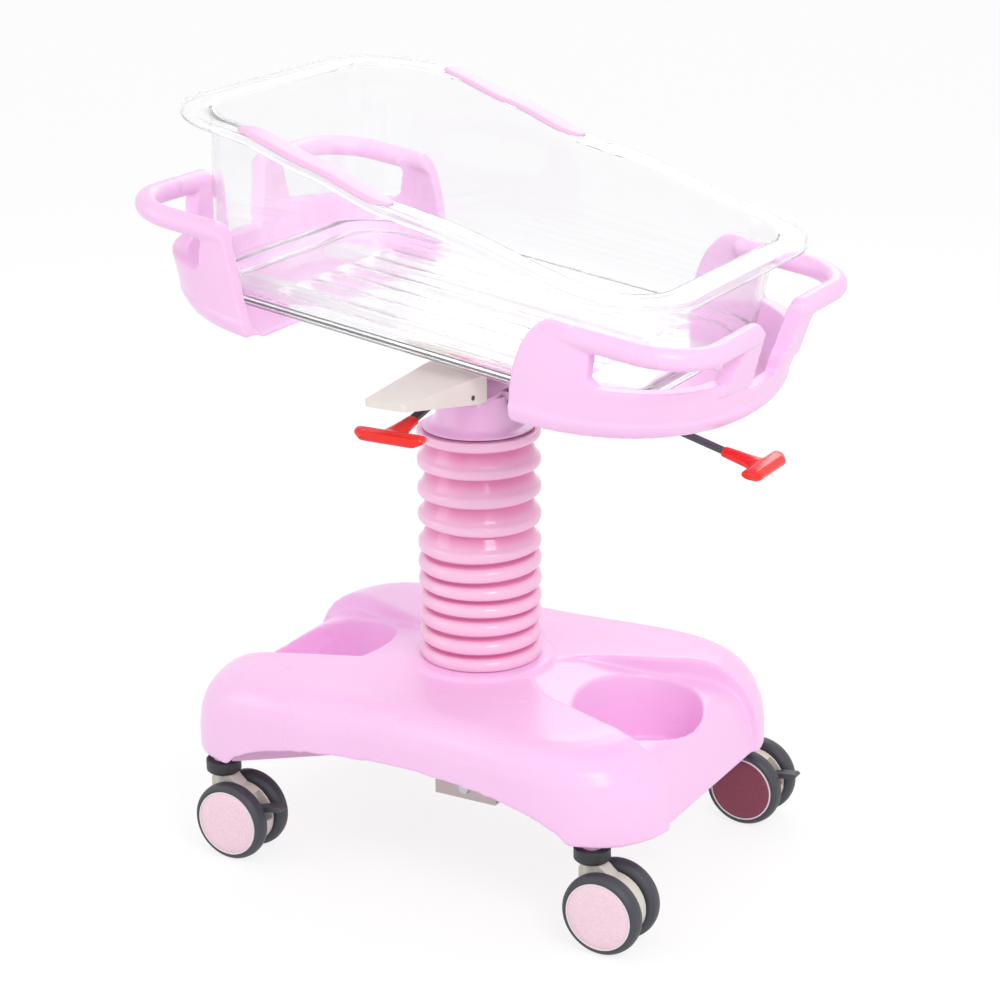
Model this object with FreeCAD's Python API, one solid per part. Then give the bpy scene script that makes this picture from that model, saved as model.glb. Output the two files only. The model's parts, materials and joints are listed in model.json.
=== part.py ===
import FreeCAD, Part
import math
import os

# Hospital crib: a clear tub that lifts and tilts on a bellows column over a wheeled base.
# Millimetres, +Z up, +X towards the foot end, the origin on the floor under the column.

# Tub tilt and heights
TILT_DEG = 8.0
PIVOT_Z = 621.0

# Fits and clearances
RUN_GAP = 0.05
SEAT_GAP = 0.3
BOLT_GAP = 0.15

# Casters
STEM_X = 261.0
STEM_Y = 198.0
WHEEL_R = 50.0
WHEEL_W = 22.0
WHEEL_IN_Y = 12.5
TRAIL = 25.0
CAP_R = 41.5
HOOD_W = 20.0
HOOD_R = 41.0
HOOD_BOSS_R = 11.8
AXLE_R = 4.0
HUB_R = 13.0
COLLAR_R = 22.0
COLLAR_H = 17.0
COLLAR_Z = 104.0
KINGPIN_R = 6.0
KINGPIN_FOOT = 78.0
STEM_R = 7.5
PEDAL_L = 34.0
PEDAL_PIN_R = 1.8
PEDAL_PIN_X = TRAIL + HOOD_R - 18.0
PEDAL_PIN_Z = WHEEL_R + 13.0
PEDAL_W = 15.0

# Base cover
COVER_HALF_L = 329.0
COVER_HALF_W = 231.0
COVER_WAIST = 0.925
COVER_WAIST_REACH = 245.0
COVER_SQUARE = 5.2
COVER_PLAN_POINTS = 32
COVER_TOP = 239.0
COVER_END_ROUND = 86.0
COVER_SIDE_ROUND = 40.0
COVER_FOOT_Z = 125.0
COVER_ARCH = 45.0
COVER_ARCH_IN_Y = 112.0
COVER_WALL = 4.0
FAN_START_X = 86.0
FAN_HALF_W = 122.0
WELL_X = 222.0
WELL_A = 79.0
WELL_B = 98.0
WELL_FLOOR_Z = 137.0
WELL_TAPER = 15.0
PLINTH_R = 92.0
PLINTH_H = 6.0

# Chassis
ARM_W = 40.0
ARM_H = 22.0
ARM_Z = 124.0
HUB_BOX = 104.0
SOCKET_R = 12.0
FOOT_BRACKET_L = 88.0
FOOT_BRACKET_W = 90.0
FOOT_BRACKET_Z = 59.0
SHEET = 3.0
EYE_Z = 75.0
FOOT_BOLT_R = 4.0

# Mast and lift spring
OUTER_TUBE_R = 30.0
OUTER_TUBE_TOP = 386.0
INNER_TUBE_R = 25.0
INNER_TUBE_FOOT = 243.0
TUBE_WALL = 2.5
BUSH_H = 46.0
SPRING_R = 12.0
SPRING_BORE = 9.0
SPRING_TOP = 331.0
SPRING_ROD_R = 5.0
SPRING_ROD_FOOT = 263.0
PISTON_H = 9.0

# Bellows
BELLOWS_R = 76.5
BELLOWS_VALLEY_R = 64.5
BELLOWS_BORE_R = 59.0
BELLOWS_FIRST_Z = 252.0
BELLOWS_LOW_RINGS = 6
BELLOWS_LOW_PITCH = 23.5
BELLOWS_HIGH_RINGS = 4
BELLOWS_HIGH_PITCH = 35.5
BELLOWS_CUFF = 7.0

# Mast head
CONE_TOP_R = 37.5
CONE_FOOT_R = 71.0
CONE_NECK_Z = 581.0
YOKE_PLATE_T = 5.0
YOKE_PLATE_Z = 587.0
YOKE_HALF_X = 24.0
EAR_IN_Y = 26.0
EAR_T = 6.0
TILT_AXLE_R = 8.0
AXLE_HEAD_T = 5.0

# Side release channel and lever
CHANNEL_TOP = 626.0
CHANNEL_ROOT_Y = 55.0
CHANNEL_TIP_Y = 214.0
CHANNEL_ROOT_HALF = 44.0
CHANNEL_TIP_HALF = 28.0
CHANNEL_ROOT_DEPTH = 34.0
CHANNEL_TIP_DEPTH = 8.0
LEVER_PIN_R = 3.0
LEVER_PIN_Y = 83.0
LEVER_PIN_Z = 603.0
LEVER_W = 12.0
LEVER_T = 5.0
GRIP_BAR_HALF = 46.0
GRIP_Y = 207.0
GRIP_Z = 583.0
GRIP_R = 8.5
SIDE_GRIP_TURN = 8.1

# Cradle, in the tub's own tilted frame, its origin on the tilt axle
RAIL_Y = 95.0
RAIL_W = 25.0
RAIL_HALF_L = 282.0
SHELL_FLOOR_Z = 38.0
SHELL_FLOOR_T = 6.0
TUB_Z = 62.0
PLATE_T = 4.0
PLATE_HALF_X = 120.0
HUB_TUBE_R = 14.0
HUB_TUBE_HALF = 24.0

# Tilt spring
TILT_PIN_R = 4.0
TILT_EYE_R = 8.5
TILT_ROD_X = 222.0
TILT_ROD_Z = -11.0
TILT_FOOT_X = 52.0
TILT_FOOT_Z = 581.0
TILT_OPEN_GAP = 2.2
TILT_SPRING_R = 9.5
TILT_ROD_R = 4.5
TILT_EYE_W = 14.0

# Foot release channel and lever
FOOT_CH_ROOT_X = 70.0
FOOT_CH_TIP_X = 286.0
FOOT_CH_TOP = 3.0
FOOT_CH_ROOT_HALF = 26.0
FOOT_CH_TIP_HALF = 15.0
FOOT_CH_ROOT_DEPTH = 36.0
FOOT_CH_TIP_DEPTH = 7.0
FOOT_PIN_X = 252.0
FOOT_PIN_Z = -7.0
FOOT_GRIP_X = 389.0
FOOT_GRIP_Z = -23.0
FOOT_GRIP_TURN = 5.2

# End shells
SHELL_XE = 172.0
SHELL_WALL = 17.0
SHELL_FREE_X = 168.0
SHELL_BAND = 2.5
BELT_Z = 57.0
SILL_Z = 100.0
WING_TOP = 167.0
WINDOW_X = 257.0
BAR_R = 13.0
BAR_Y = 228.0
BAR_X = 374.0
BAR_Z = 153.0
BAR_BEND = 70.0
POST_IN_Y = 46.0
POST_OUT_Y = 106.0
NOTCH_Z = 78.0

# Tub
TUB_L = 306.0
TUB_W = 212.0
TUB_CORNER = 82.0
TUB_FOOT_IN_L = 20.0
TUB_FOOT_IN_W = 18.0
TUB_WALL = 3.5
TUB_FLOOR = 8.0
RIM_HEAD = 283.0
RIM_MID = 240.0
RIM_FOOT = 201.0
RIM_OUT = 36.0
RIM_T = 3.5
RIM_LIP = 11.0
FLUTE_W = 22.0
FLUTE_PITCH = 44.0
FLUTE_COUNT = 7
FLUTE_HALF_L = 205.0
FLUTE_DEPTH = 4.0
STRIP_X0 = -217.0
STRIP_X1 = -8.0
STRIP_W = 25.0
STRIP_T = 6.5


def vec(x, y, z):
    return FreeCAD.Vector(x, y, z)


X = vec(1, 0, 0)
Y = vec(0, 1, 0)
Z = vec(0, 0, 1)


def box(x0, x1, y0, y1, z0, z1):
    return Part.makeBox(x1 - x0, y1 - y0, z1 - z0, vec(x0, y0, z0))


def rod(radius, start, direction, length):
    return Part.makeCylinder(radius, length, start, direction)


def tube(outer, inner, start, direction, length):
    return rod(outer, start, direction, length).cut(rod(inner, start, direction, length))


def prism(points, sweep):
    """A straight-sided solid from a closed run of points."""
    wire = Part.makePolygon(points + [points[0]])
    return Part.Face(wire).extrude(sweep)


def spline_edge(points):
    curve = Part.BSplineCurve()
    curve.interpolate(points)
    return curve.toShape()


def line_edge(a, b):
    return Part.LineSegment(a, b).toShape()


def revolve(profile):
    """A solid of revolution about Z from (radius, height) corners."""
    points = [vec(r, 0, z) for r, z in profile]
    face = Part.Face(Part.makePolygon(points + [points[0]]))
    return face.revolve(vec(0, 0, 0), Z, 360)


def fuse_all(shapes):
    result = shapes[0]
    if len(shapes) > 1:
        result = shapes[0].multiFuse(shapes[1:])
    return result.removeSplitter()


def mirror_x(shape):
    return shape.mirror(vec(0, 0, 0), X)


def mirror_y(shape):
    return shape.mirror(vec(0, 0, 0), Y)


def tilted(shape):
    """From the tub's own frame to the crib's: turned foot-down about the tilt axle."""
    turned = shape.copy()
    turned.rotate(vec(0, 0, 0), Y, TILT_DEG)
    turned.translate(vec(0, 0, PIVOT_Z))
    return turned


def one_solid(shape):
    """The solid itself where a cut or a fuse returns a compound that holds only one."""
    if len(shape.Solids) == 1:
        return shape.Solids[0]
    return shape


def save(name, shape):
    one_solid(shape).exportStep("parts/" + name + ".step")


# Base cover: a moulded shell with four ridged legs and a storage well at each end

def ease(value):
    value = min(1.0, max(0.0, value))
    return value * value * (3.0 - 2.0 * value)


def cover_plan(height, end_inset, side_inset):
    """One level outline: a squarish oval, pinched at the waist."""
    points = []
    for step in range(COVER_PLAN_POINTS):
        angle = 2.0 * math.pi * step / COVER_PLAN_POINTS
        cosine = math.cos(angle)
        sine = math.sin(angle)
        reach = (abs(cosine) ** COVER_SQUARE + abs(sine) ** COVER_SQUARE) ** (-1.0 / COVER_SQUARE)
        x = (COVER_HALF_L - end_inset) * reach * cosine
        pinch = COVER_WAIST + (1.0 - COVER_WAIST) * ease(abs(x) / COVER_WAIST_REACH)
        points.append(vec(x, (COVER_HALF_W - side_inset) * reach * sine * pinch, height))
    curve = Part.BSplineCurve()
    curve.interpolate(Points=points, PeriodicFlag=True)
    return Part.Wire([curve.toShape()])


def quarter_round(radius, below_top):
    """How far a rounded edge has drawn in at a depth below the top."""
    over = max(0.0, 1.0 - below_top / radius)
    return radius * (1.0 - math.sqrt(1.0 - over * over))


def cover_body(inset):
    """The block of the cover: upright sides under a top edge that is rounder at the ends."""
    rings = [cover_plan(COVER_FOOT_Z, inset, inset)]
    for below_top in (86.0, 60.0, 40.0, 25.0, 14.0, 6.0, 1.5, 0.0):
        end_inset = inset + quarter_round(COVER_END_ROUND, below_top)
        side_inset = inset + quarter_round(COVER_SIDE_ROUND, below_top)
        rings.append(cover_plan(COVER_TOP - inset - below_top, end_inset, side_inset))
    return Part.makeLoft(rings, True, True)


def fan_prism(grow):
    """The plan of the foot end's tray, which widens from the column to the end between the legs."""
    crease = [(FAN_START_X - 2 * grow, 22), (127, 66), (167, 84), (210, 101), (249, 116),
              (292, FAN_HALF_W), (COVER_HALF_L + 20.0, FAN_HALF_W + 2)]
    right = [vec(x, y + grow, 60) for x, y in crease]
    left = [vec(p.x, -p.y, p.z) for p in reversed(right)]
    edges = [spline_edge(right), line_edge(right[-1], left[0]), spline_edge(left),
             line_edge(left[-1], right[0])]
    return Part.Face(Part.Wire(edges)).extrude(Z * 200)


def tray_prism(inset):
    """Everything below the tray: it falls gently from the column and rolls over at the end."""
    top = COVER_TOP - inset
    fall = [(40, 0.5), (86, 2), (125, 9), (180, 20), (236, 26), (275, 31), (299, 44), (311, 66),
            (318, 98), (321, 140)]
    line = [vec(x - inset, -300, top - drop) for x, drop in fall]
    low_b = vec(line[-1].x, -300, 60)
    low_a = vec(line[0].x, -300, 60)
    edges = [spline_edge(line), line_edge(line[-1], low_b), line_edge(low_b, low_a),
             line_edge(low_a, line[0])]
    return Part.Face(Part.Wire(edges)).extrude(Y * 600)


def cover_form(inset):
    """The whole outer form less an inset: the leg body with the two sunk end trays."""
    fan = fan_prism(inset)
    legs = cover_body(inset).cut(fan).cut(mirror_x(fan))
    tray = cover_body(inset + 2.0).common(fan).common(tray_prism(inset))
    return legs.multiFuse([tray, mirror_x(tray)])


def well_loft(extra, top_z, floor_z):
    """The tapered oval of one storage well, with its wall's thickness as extra."""
    rings = []
    for height, draft in ((floor_z, WELL_TAPER), (top_z, 0.0)):
        ring = Part.Ellipse(vec(0, 0, 0), WELL_B - draft + extra, WELL_A - draft + extra).toShape()
        ring.rotate(vec(0, 0, 0), Z, 90)
        ring.translate(vec(WELL_X, 0, height))
        rings.append(Part.Wire([ring]))
    return Part.makeLoft(rings, True, False)


def arch_cut():
    """The room under the far long side, between the legs."""
    foot = COVER_FOOT_Z
    rise = [(-240, 0), (-222, 0.32), (-190, 0.62), (-145, 0.84), (-84, 0.95), (0, 1), (84, 0.95),
            (145, 0.84), (190, 0.62), (222, 0.32), (240, 0)]
    side = [vec(x, COVER_ARCH_IN_Y, foot + COVER_ARCH * share) for x, share in rise]
    low_b = vec(side[-1].x, COVER_ARCH_IN_Y, foot - 20)
    low_a = vec(side[0].x, COVER_ARCH_IN_Y, foot - 20)
    wire = Part.Wire([spline_edge(side), line_edge(side[-1], low_b), line_edge(low_b, low_a),
                      line_edge(low_a, side[0])])
    return Part.Face(wire).extrude(Y * 200)


def base_cover():
    solid_form = cover_form(0.0)
    shell = solid_form.cut(cover_form(COVER_WALL))
    cup = well_loft(COVER_WALL, COVER_TOP, WELL_FLOOR_Z - COVER_WALL).common(solid_form)
    hollow = well_loft(0.0, COVER_TOP, WELL_FLOOR_Z)
    plinth = rod(PLINTH_R, vec(0, 0, COVER_TOP - 12), Z, 12 + PLINTH_H)
    plinth = plinth.makeFillet(4.0, [e for e in plinth.Edges if e.BoundBox.ZMin > COVER_TOP])
    shell = shell.multiFuse([cup, mirror_x(cup), plinth])
    shell = shell.cut(hollow).cut(mirror_x(hollow))
    shell = shell.cut(rod(OUTER_TUBE_R + 1.0, vec(0, 0, 60), Z, 300))
    shell = shell.cut(arch_cut()).cut(mirror_y(arch_cut()))
    return one_solid(shell.removeSplitter())


# Chassis: a welded steel cross that carries the mast and the four caster sockets

def chassis_frame():
    parts = [box(-HUB_BOX / 2, HUB_BOX / 2, -HUB_BOX / 2, HUB_BOX / 2, ARM_Z, ARM_Z + ARM_H)]
    reach = math.hypot(STEM_X, STEM_Y)
    angle = math.degrees(math.atan2(STEM_Y, STEM_X))
    arm_end = reach - SOCKET_R + 2
    for turn in (angle, 180 - angle, 180 + angle, -angle):
        arm = box(0, arm_end, -ARM_W / 2, ARM_W / 2, ARM_Z, ARM_Z + ARM_H)
        hollow = box(40, arm_end - 10, -ARM_W / 2 + SHEET, ARM_W / 2 - SHEET,
                     ARM_Z + SHEET, ARM_Z + ARM_H - SHEET)
        arm = arm.cut(hollow)
        arm.rotate(vec(0, 0, 0), Z, turn)
        parts.append(arm)
    for side_x in (-1, 1):
        for side_y in (-1, 1):
            foot = vec(side_x * STEM_X, side_y * STEM_Y, COLLAR_Z + COLLAR_H)
            parts.append(rod(SOCKET_R, foot, Z, ARM_Z + ARM_H - foot.z))
    frame = fuse_all(parts)
    cuts = [rod(OUTER_TUBE_R, vec(0, 0, 60), Z, 200)]
    for side_x in (-1, 1):
        for side_y in (-1, 1):
            cuts.append(rod(STEM_R + BOLT_GAP, vec(side_x * STEM_X, side_y * STEM_Y, 60), Z, 200))
    return frame.cut(fuse_all(cuts))


def mast_foot_bracket():
    """A folded steel channel under the chassis, open at both ends."""
    half_l = FOOT_BRACKET_L / 2
    half_w = FOOT_BRACKET_W / 2
    outer = box(-half_l, half_l, -half_w, half_w, FOOT_BRACKET_Z, ARM_Z)
    inner = box(-half_l, half_l, -half_w + SHEET, half_w - SHEET, FOOT_BRACKET_Z + SHEET, ARM_Z)
    bracket = outer.cut(inner)
    return bracket.cut(rod(FOOT_BOLT_R + BOLT_GAP, vec(0, -half_w - 5, EYE_Z), Y, 2 * half_w + 10))


def foot_bolt():
    half_w = FOOT_BRACKET_W / 2
    shank = rod(FOOT_BOLT_R, vec(0, -half_w, EYE_Z), Y, 2 * half_w + 11)
    head = hex_head(7.5, 5.5, vec(0, -half_w, EYE_Z), -1)
    nut = hex_head(7.5, 7.0, vec(0, half_w, EYE_Z), 1)
    return fuse_all([shank, head, nut])


def hex_head(radius, height, centre, side):
    """A hexagon along Y, outward on the given side."""
    points = []
    for step in range(6):
        angle = math.radians(60 * step)
        points.append(centre + vec(radius * math.cos(angle), 0, radius * math.sin(angle)))
    return prism(points, Y * (side * height))


def mast_outer_tube():
    return tube(OUTER_TUBE_R, OUTER_TUBE_R - TUBE_WALL, vec(0, 0, ARM_Z - 30), Z,
                OUTER_TUBE_TOP - ARM_Z + 30)


def mast_bush():
    """A flanged plastic bush in the mouth of the outer tube, which guides the inner one."""
    foot = vec(0, 0, OUTER_TUBE_TOP - BUSH_H)
    sleeve = tube(OUTER_TUBE_R - TUBE_WALL, INNER_TUBE_R + RUN_GAP, foot, Z, BUSH_H)
    rim = tube(OUTER_TUBE_R + 1.5, INNER_TUBE_R + RUN_GAP, vec(0, 0, OUTER_TUBE_TOP), Z, 4)
    return fuse_all([sleeve, rim])


def lift_spring_cylinder():
    """Gas spring body, hung on the foot bolt by an eye, with a gland round the rod."""
    body = revolve([(0, EYE_Z + 7), (SPRING_R, EYE_Z + 12), (SPRING_R, SPRING_TOP - 3),
                    (SPRING_R - 2, SPRING_TOP), (0, SPRING_TOP)])
    eye = rod(9.0, vec(0, -7, EYE_Z), Y, 14)
    body = fuse_all([body, eye])
    bore = rod(SPRING_BORE, vec(0, 0, EYE_Z + 20), Z, SPRING_TOP - EYE_Z - 32)
    gland = rod(SPRING_ROD_R + RUN_GAP, vec(0, 0, SPRING_TOP - 20), Z, 30)
    pin = rod(FOOT_BOLT_R + RUN_GAP, vec(0, -20, EYE_Z), Y, 40)
    return body.cut(fuse_all([bore, gland, pin]))


# Casters: a twin-wheel swivel caster at each corner

def caster_collars():
    """The four black cups under the chassis arms, with their stems."""
    pieces = []
    for side_x in (-1, 1):
        for side_y in (-1, 1):
            piece = revolve([(0, COLLAR_Z), (COLLAR_R - 3, COLLAR_Z), (COLLAR_R, COLLAR_Z + 3),
                             (COLLAR_R, COLLAR_Z + COLLAR_H), (STEM_R, COLLAR_Z + COLLAR_H),
                             (STEM_R, ARM_Z + ARM_H - 2), (0, ARM_Z + ARM_H - 2)])
            piece.translate(vec(side_x * STEM_X, side_y * STEM_Y, 0))
            pieces.append(piece)
    return Part.makeCompound(pieces)


def caster_kingpins():
    """The four steel pins below the cups, on which the hoods turn."""
    length = COLLAR_Z - KINGPIN_FOOT
    return Part.makeCompound([rod(KINGPIN_R, vec(side_x * STEM_X, side_y * STEM_Y, KINGPIN_FOOT), Z, length)
                              for side_x in (-1, 1) for side_y in (-1, 1)])


def caster_hood(braked):
    """Hood between the wheels, at the stem's own origin: a disc with a neck to the kingpin."""
    half = HOOD_W / 2
    disc = rod(HOOD_R, vec(TRAIL, -half, WHEEL_R), Y, HOOD_W)
    boss = rod(HOOD_BOSS_R, vec(0, 0, 66), Z, COLLAR_Z - 66 - SEAT_GAP)
    top = COLLAR_Z - SEAT_GAP
    neck = prism([vec(-13, -half, 62), vec(-13, -half, top - 8), vec(-9, -half, top),
                  vec(14, -half, top), vec(34, -half, 86), vec(28, -half, 50)], Y * HOOD_W)
    hood = fuse_all([disc, boss, neck])
    cuts = [rod(KINGPIN_R + RUN_GAP, vec(0, 0, KINGPIN_FOOT - SEAT_GAP), Z, 40)]
    cuts.append(rod(AXLE_R, vec(TRAIL, -40, WHEEL_R), Y, 80))
    if braked:
        slot = box(PEDAL_PIN_X - 6, PEDAL_PIN_X + 40, -PEDAL_W / 2 - 0.5, PEDAL_W / 2 + 0.5,
                   PEDAL_PIN_Z - 13, PEDAL_PIN_Z + 21)
        cuts.append(slot)
        cuts.append(rod(PEDAL_PIN_R + RUN_GAP, vec(PEDAL_PIN_X, -half - 1, PEDAL_PIN_Z), Y, HOOD_W + 2))
    return hood.cut(fuse_all(cuts))


def caster_axle():
    return rod(AXLE_R, vec(TRAIL, -WHEEL_IN_Y - WHEEL_W + 5, WHEEL_R), Y,
               2 * (WHEEL_IN_Y + WHEEL_W - 5))


def caster_wheel(side):
    """One wheel with a rounded tread, revolved about its axle and set on one side."""
    inner = WHEEL_IN_Y
    outer = WHEEL_IN_Y + WHEEL_W
    shell = 7.0
    profile = [(AXLE_R + RUN_GAP, inner - 2), (HUB_R, inner - 2), (HUB_R, outer - shell - 4),
               (WHEEL_R - shell - 3, outer - shell - 4), (WHEEL_R - shell, inner),
               (WHEEL_R - 3, inner), (WHEEL_R, inner + 6), (WHEEL_R, outer - 8),
               (WHEEL_R - 4, outer - 1.5), (CAP_R + SEAT_GAP, outer - 0.5),
               (CAP_R + SEAT_GAP, outer - 5), (AXLE_R + RUN_GAP, outer - 5)]
    points = [vec(r, 0, z) for r, z in profile]
    wheel = Part.Face(Part.makePolygon(points + [points[0]])).revolve(vec(0, 0, 0), Z, 360)
    return placed_on_axle(wheel, side)


def caster_cap(side):
    """The domed disc that closes the outside of a wheel."""
    outer = WHEEL_IN_Y + WHEEL_W
    face = outer - 5
    cap = revolve([(0, face), (CAP_R, face), (CAP_R, outer - 1.0), (CAP_R - 1.5, outer),
                   (CAP_R * 0.6, outer + 1.2), (0, outer + 1.6)])
    return placed_on_axle(cap, side)


def placed_on_axle(shape, side):
    """From an axis along Z to the caster's axle, outward on the given side of Y."""
    placed = shape.copy()
    placed.rotate(vec(0, 0, 0), X, -90 * side)
    placed.translate(vec(TRAIL, 0, WHEEL_R))
    return placed


def caster_pedal():
    """Brake pedal on its own small pin at the back of the hood."""
    pin_x = PEDAL_PIN_X
    pin_z = PEDAL_PIN_Z
    half = PEDAL_W / 2
    tip_x = pin_x + PEDAL_L + 8
    blade = prism([vec(pin_x + 7, -half, pin_z - 4), vec(pin_x + 7, -half, pin_z + 4),
                   vec(pin_x + 20, -half, pin_z + 8), vec(tip_x - 3, -half, pin_z + 10),
                   vec(tip_x, -half, pin_z + 7), vec(tip_x - 4, -half, pin_z + 3),
                   vec(pin_x + 22, -half, pin_z + 1)], Y * PEDAL_W)
    knuckle = box(pin_x - 1, pin_x + 9, -5, 5, pin_z - 4, pin_z + 4)
    pin = rod(PEDAL_PIN_R, vec(pin_x, -HOOD_W / 2, pin_z), Y, HOOD_W)
    return fuse_all([blade, knuckle, pin])


# Bellows and mast head

def ring_heights():
    """Ring by ring from the foot: the lower ones sit closer together than the upper ones."""
    heights = [BELLOWS_FIRST_Z]
    for pitch in [BELLOWS_LOW_PITCH] * BELLOWS_LOW_RINGS + [BELLOWS_HIGH_PITCH] * BELLOWS_HIGH_RINGS:
        heights.append(heights[-1] + pitch)
    return heights


def bellows_foot_z():
    return COVER_TOP + PLINTH_H + SEAT_GAP


def bellows_head_z():
    return ring_heights()[-1] + BELLOWS_CUFF


def bellows():
    heights = ring_heights()
    foot = bellows_foot_z()
    head = bellows_head_z()
    profile = [(BELLOWS_BORE_R, foot), (BELLOWS_VALLEY_R + 6, foot)]
    for index, height in enumerate(heights):
        pitch = BELLOWS_LOW_PITCH
        if index > 0:
            pitch = height - heights[index - 1]
            profile.append((BELLOWS_VALLEY_R, height - pitch / 2))
        lobe = 0.2 * pitch
        profile.append((BELLOWS_R - 4.0, max(foot + 1, height - 1.5 * lobe)))
        profile.append((BELLOWS_R, height - 0.6 * lobe))
        profile.append((BELLOWS_R, height + 0.6 * lobe))
        profile.append((BELLOWS_R - 4.0, min(head - 1, height + 1.5 * lobe)))
    profile.append((BELLOWS_VALLEY_R + 4, head))
    profile.append((BELLOWS_BORE_R, head))
    return revolve(profile)


def bellows_clamp():
    """The ring inside the bellows' foot that holds its cuff down on the plinth."""
    foot = COVER_TOP + PLINTH_H
    return fuse_all([tube(BELLOWS_BORE_R - SEAT_GAP, 52.0, vec(0, 0, foot), Z, 12),
                     tube(52.0, OUTER_TUBE_R + 3, vec(0, 0, foot), Z, 3)])


def mast_inner_tube():
    pipe = tube(INNER_TUBE_R, INNER_TUBE_R - TUBE_WALL, vec(0, 0, INNER_TUBE_FOOT), Z,
                YOKE_PLATE_Z - INNER_TUBE_FOOT)
    shoe = tube(OUTER_TUBE_R - TUBE_WALL - RUN_GAP, INNER_TUBE_R - TUBE_WALL,
                vec(0, 0, INNER_TUBE_FOOT), Z, 22)
    return fuse_all([pipe, shoe])


def lift_spring_rod():
    rod_top = YOKE_PLATE_Z + YOKE_PLATE_T
    length = rod_top - SPRING_ROD_FOOT
    piston = rod(SPRING_BORE - RUN_GAP, vec(0, 0, SPRING_ROD_FOOT), Z, PISTON_H)
    shaft = rod(SPRING_ROD_R, vec(0, 0, SPRING_ROD_FOOT), Z, length)
    return fuse_all([piston, shaft])


def mast_cone():
    """The trumpet-shaped cover between the bellows and the head."""
    foot = bellows_head_z() + SEAT_GAP
    top = YOKE_PLATE_Z - SEAT_GAP
    wall = 3.0
    outer = []
    for step in range(9):
        share = step / 8.0
        height = foot + 3 + (CONE_NECK_Z - foot - 3) * share
        radius = CONE_TOP_R + (CONE_FOOT_R - CONE_TOP_R) * (1 - share) ** 2.6
        outer.append(vec(radius, 0, height))
    inner = [vec(p.x - wall, 0, p.z) for p in outer]
    seat_r = INNER_TUBE_R + SEAT_GAP
    edges = [line_edge(vec(CONE_FOOT_R, 0, foot), outer[0]), spline_edge(outer),
             line_edge(outer[-1], vec(CONE_TOP_R, 0, top)),
             line_edge(vec(CONE_TOP_R, 0, top), vec(seat_r, 0, top)),
             line_edge(vec(seat_r, 0, top), vec(seat_r, 0, CONE_NECK_Z)),
             line_edge(vec(seat_r, 0, CONE_NECK_Z), inner[-1]), spline_edge(inner[::-1]),
             line_edge(inner[0], vec(CONE_FOOT_R - wall, 0, foot)),
             line_edge(vec(CONE_FOOT_R - wall, 0, foot), vec(CONE_FOOT_R, 0, foot))]
    return Part.Face(Part.Wire(edges)).revolve(vec(0, 0, 0), Z, 360)


def pivot_bracket():
    """The yoke on top of the mast: a plate, two ears for the axle, and the spring's lugs."""
    top = YOKE_PLATE_Z + YOKE_PLATE_T
    plate = box(-40, 40, -CHANNEL_ROOT_Y - 17, EAR_IN_Y + EAR_T + 4, YOKE_PLATE_Z, top)
    parts = [plate]
    for side in (-1, 1):
        start = EAR_IN_Y if side > 0 else -EAR_IN_Y - EAR_T
        ear = box(-YOKE_HALF_X, YOKE_HALF_X, start, start + EAR_T, top, PIVOT_Z)
        crown = rod(16.0, vec(0, start, PIVOT_Z), Y, EAR_T)
        parts.append(ear)
        parts.append(crown)
        lug_y = TILT_EYE_W / 2 + 1.0
        lug_start = lug_y if side > 0 else -lug_y - 4
        parts.append(box(38, TILT_FOOT_X, lug_start, lug_start + 4, YOKE_PLATE_Z - 4, top))
        parts.append(rod(8.0, vec(TILT_FOOT_X, lug_start, TILT_FOOT_Z), Y, 4))
    yoke = fuse_all(parts)
    window = box(-LEVER_W / 2 - 3, LEVER_W / 2 + 3, -60, -EAR_IN_Y + 5, top, top + 17)
    cuts = [window, rod(TILT_AXLE_R, vec(0, -60, PIVOT_Z), Y, 120),
            rod(SPRING_ROD_R + BOLT_GAP, vec(0, 0, 560), Z, 100),
            rod(TILT_PIN_R, vec(TILT_FOOT_X, -40, TILT_FOOT_Z), Y, 80),
            box(36, 80, -TILT_EYE_W / 2 - 1, TILT_EYE_W / 2 + 1, YOKE_PLATE_Z - 20, top + 5)]
    return yoke.cut(fuse_all(cuts))


def tilt_axle():
    half = EAR_IN_Y + EAR_T
    shank = rod(TILT_AXLE_R, vec(0, -half, PIVOT_Z), Y, 2 * half)
    near = rod(TILT_AXLE_R + 4, vec(0, -half - 2, PIVOT_Z), Y, 2)
    far = rod(TILT_AXLE_R + 4, vec(0, half, PIVOT_Z), Y, AXLE_HEAD_T)
    return fuse_all([shank, near, far])


def mast_head_pins():
    """Two loose pins on the mast head: the side lever's and the tilt spring's."""
    half = channel_half_width(LEVER_PIN_Y)
    lever_pin = rod(LEVER_PIN_R, vec(-half - 1, -LEVER_PIN_Y, LEVER_PIN_Z), X, 2 * half + 2)
    spring_pin = rod(TILT_PIN_R, vec(TILT_FOOT_X, -13.5, TILT_FOOT_Z), Y, 27)
    return Part.makeCompound([lever_pin, spring_pin])


# Release channels: tapered steel channels, open below, with a lever and a red grip each

def channel_half_width(y):
    share = (y - CHANNEL_ROOT_Y) / (CHANNEL_TIP_Y - CHANNEL_ROOT_Y)
    return CHANNEL_ROOT_HALF + (CHANNEL_TIP_HALF - CHANNEL_ROOT_HALF) * share


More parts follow.
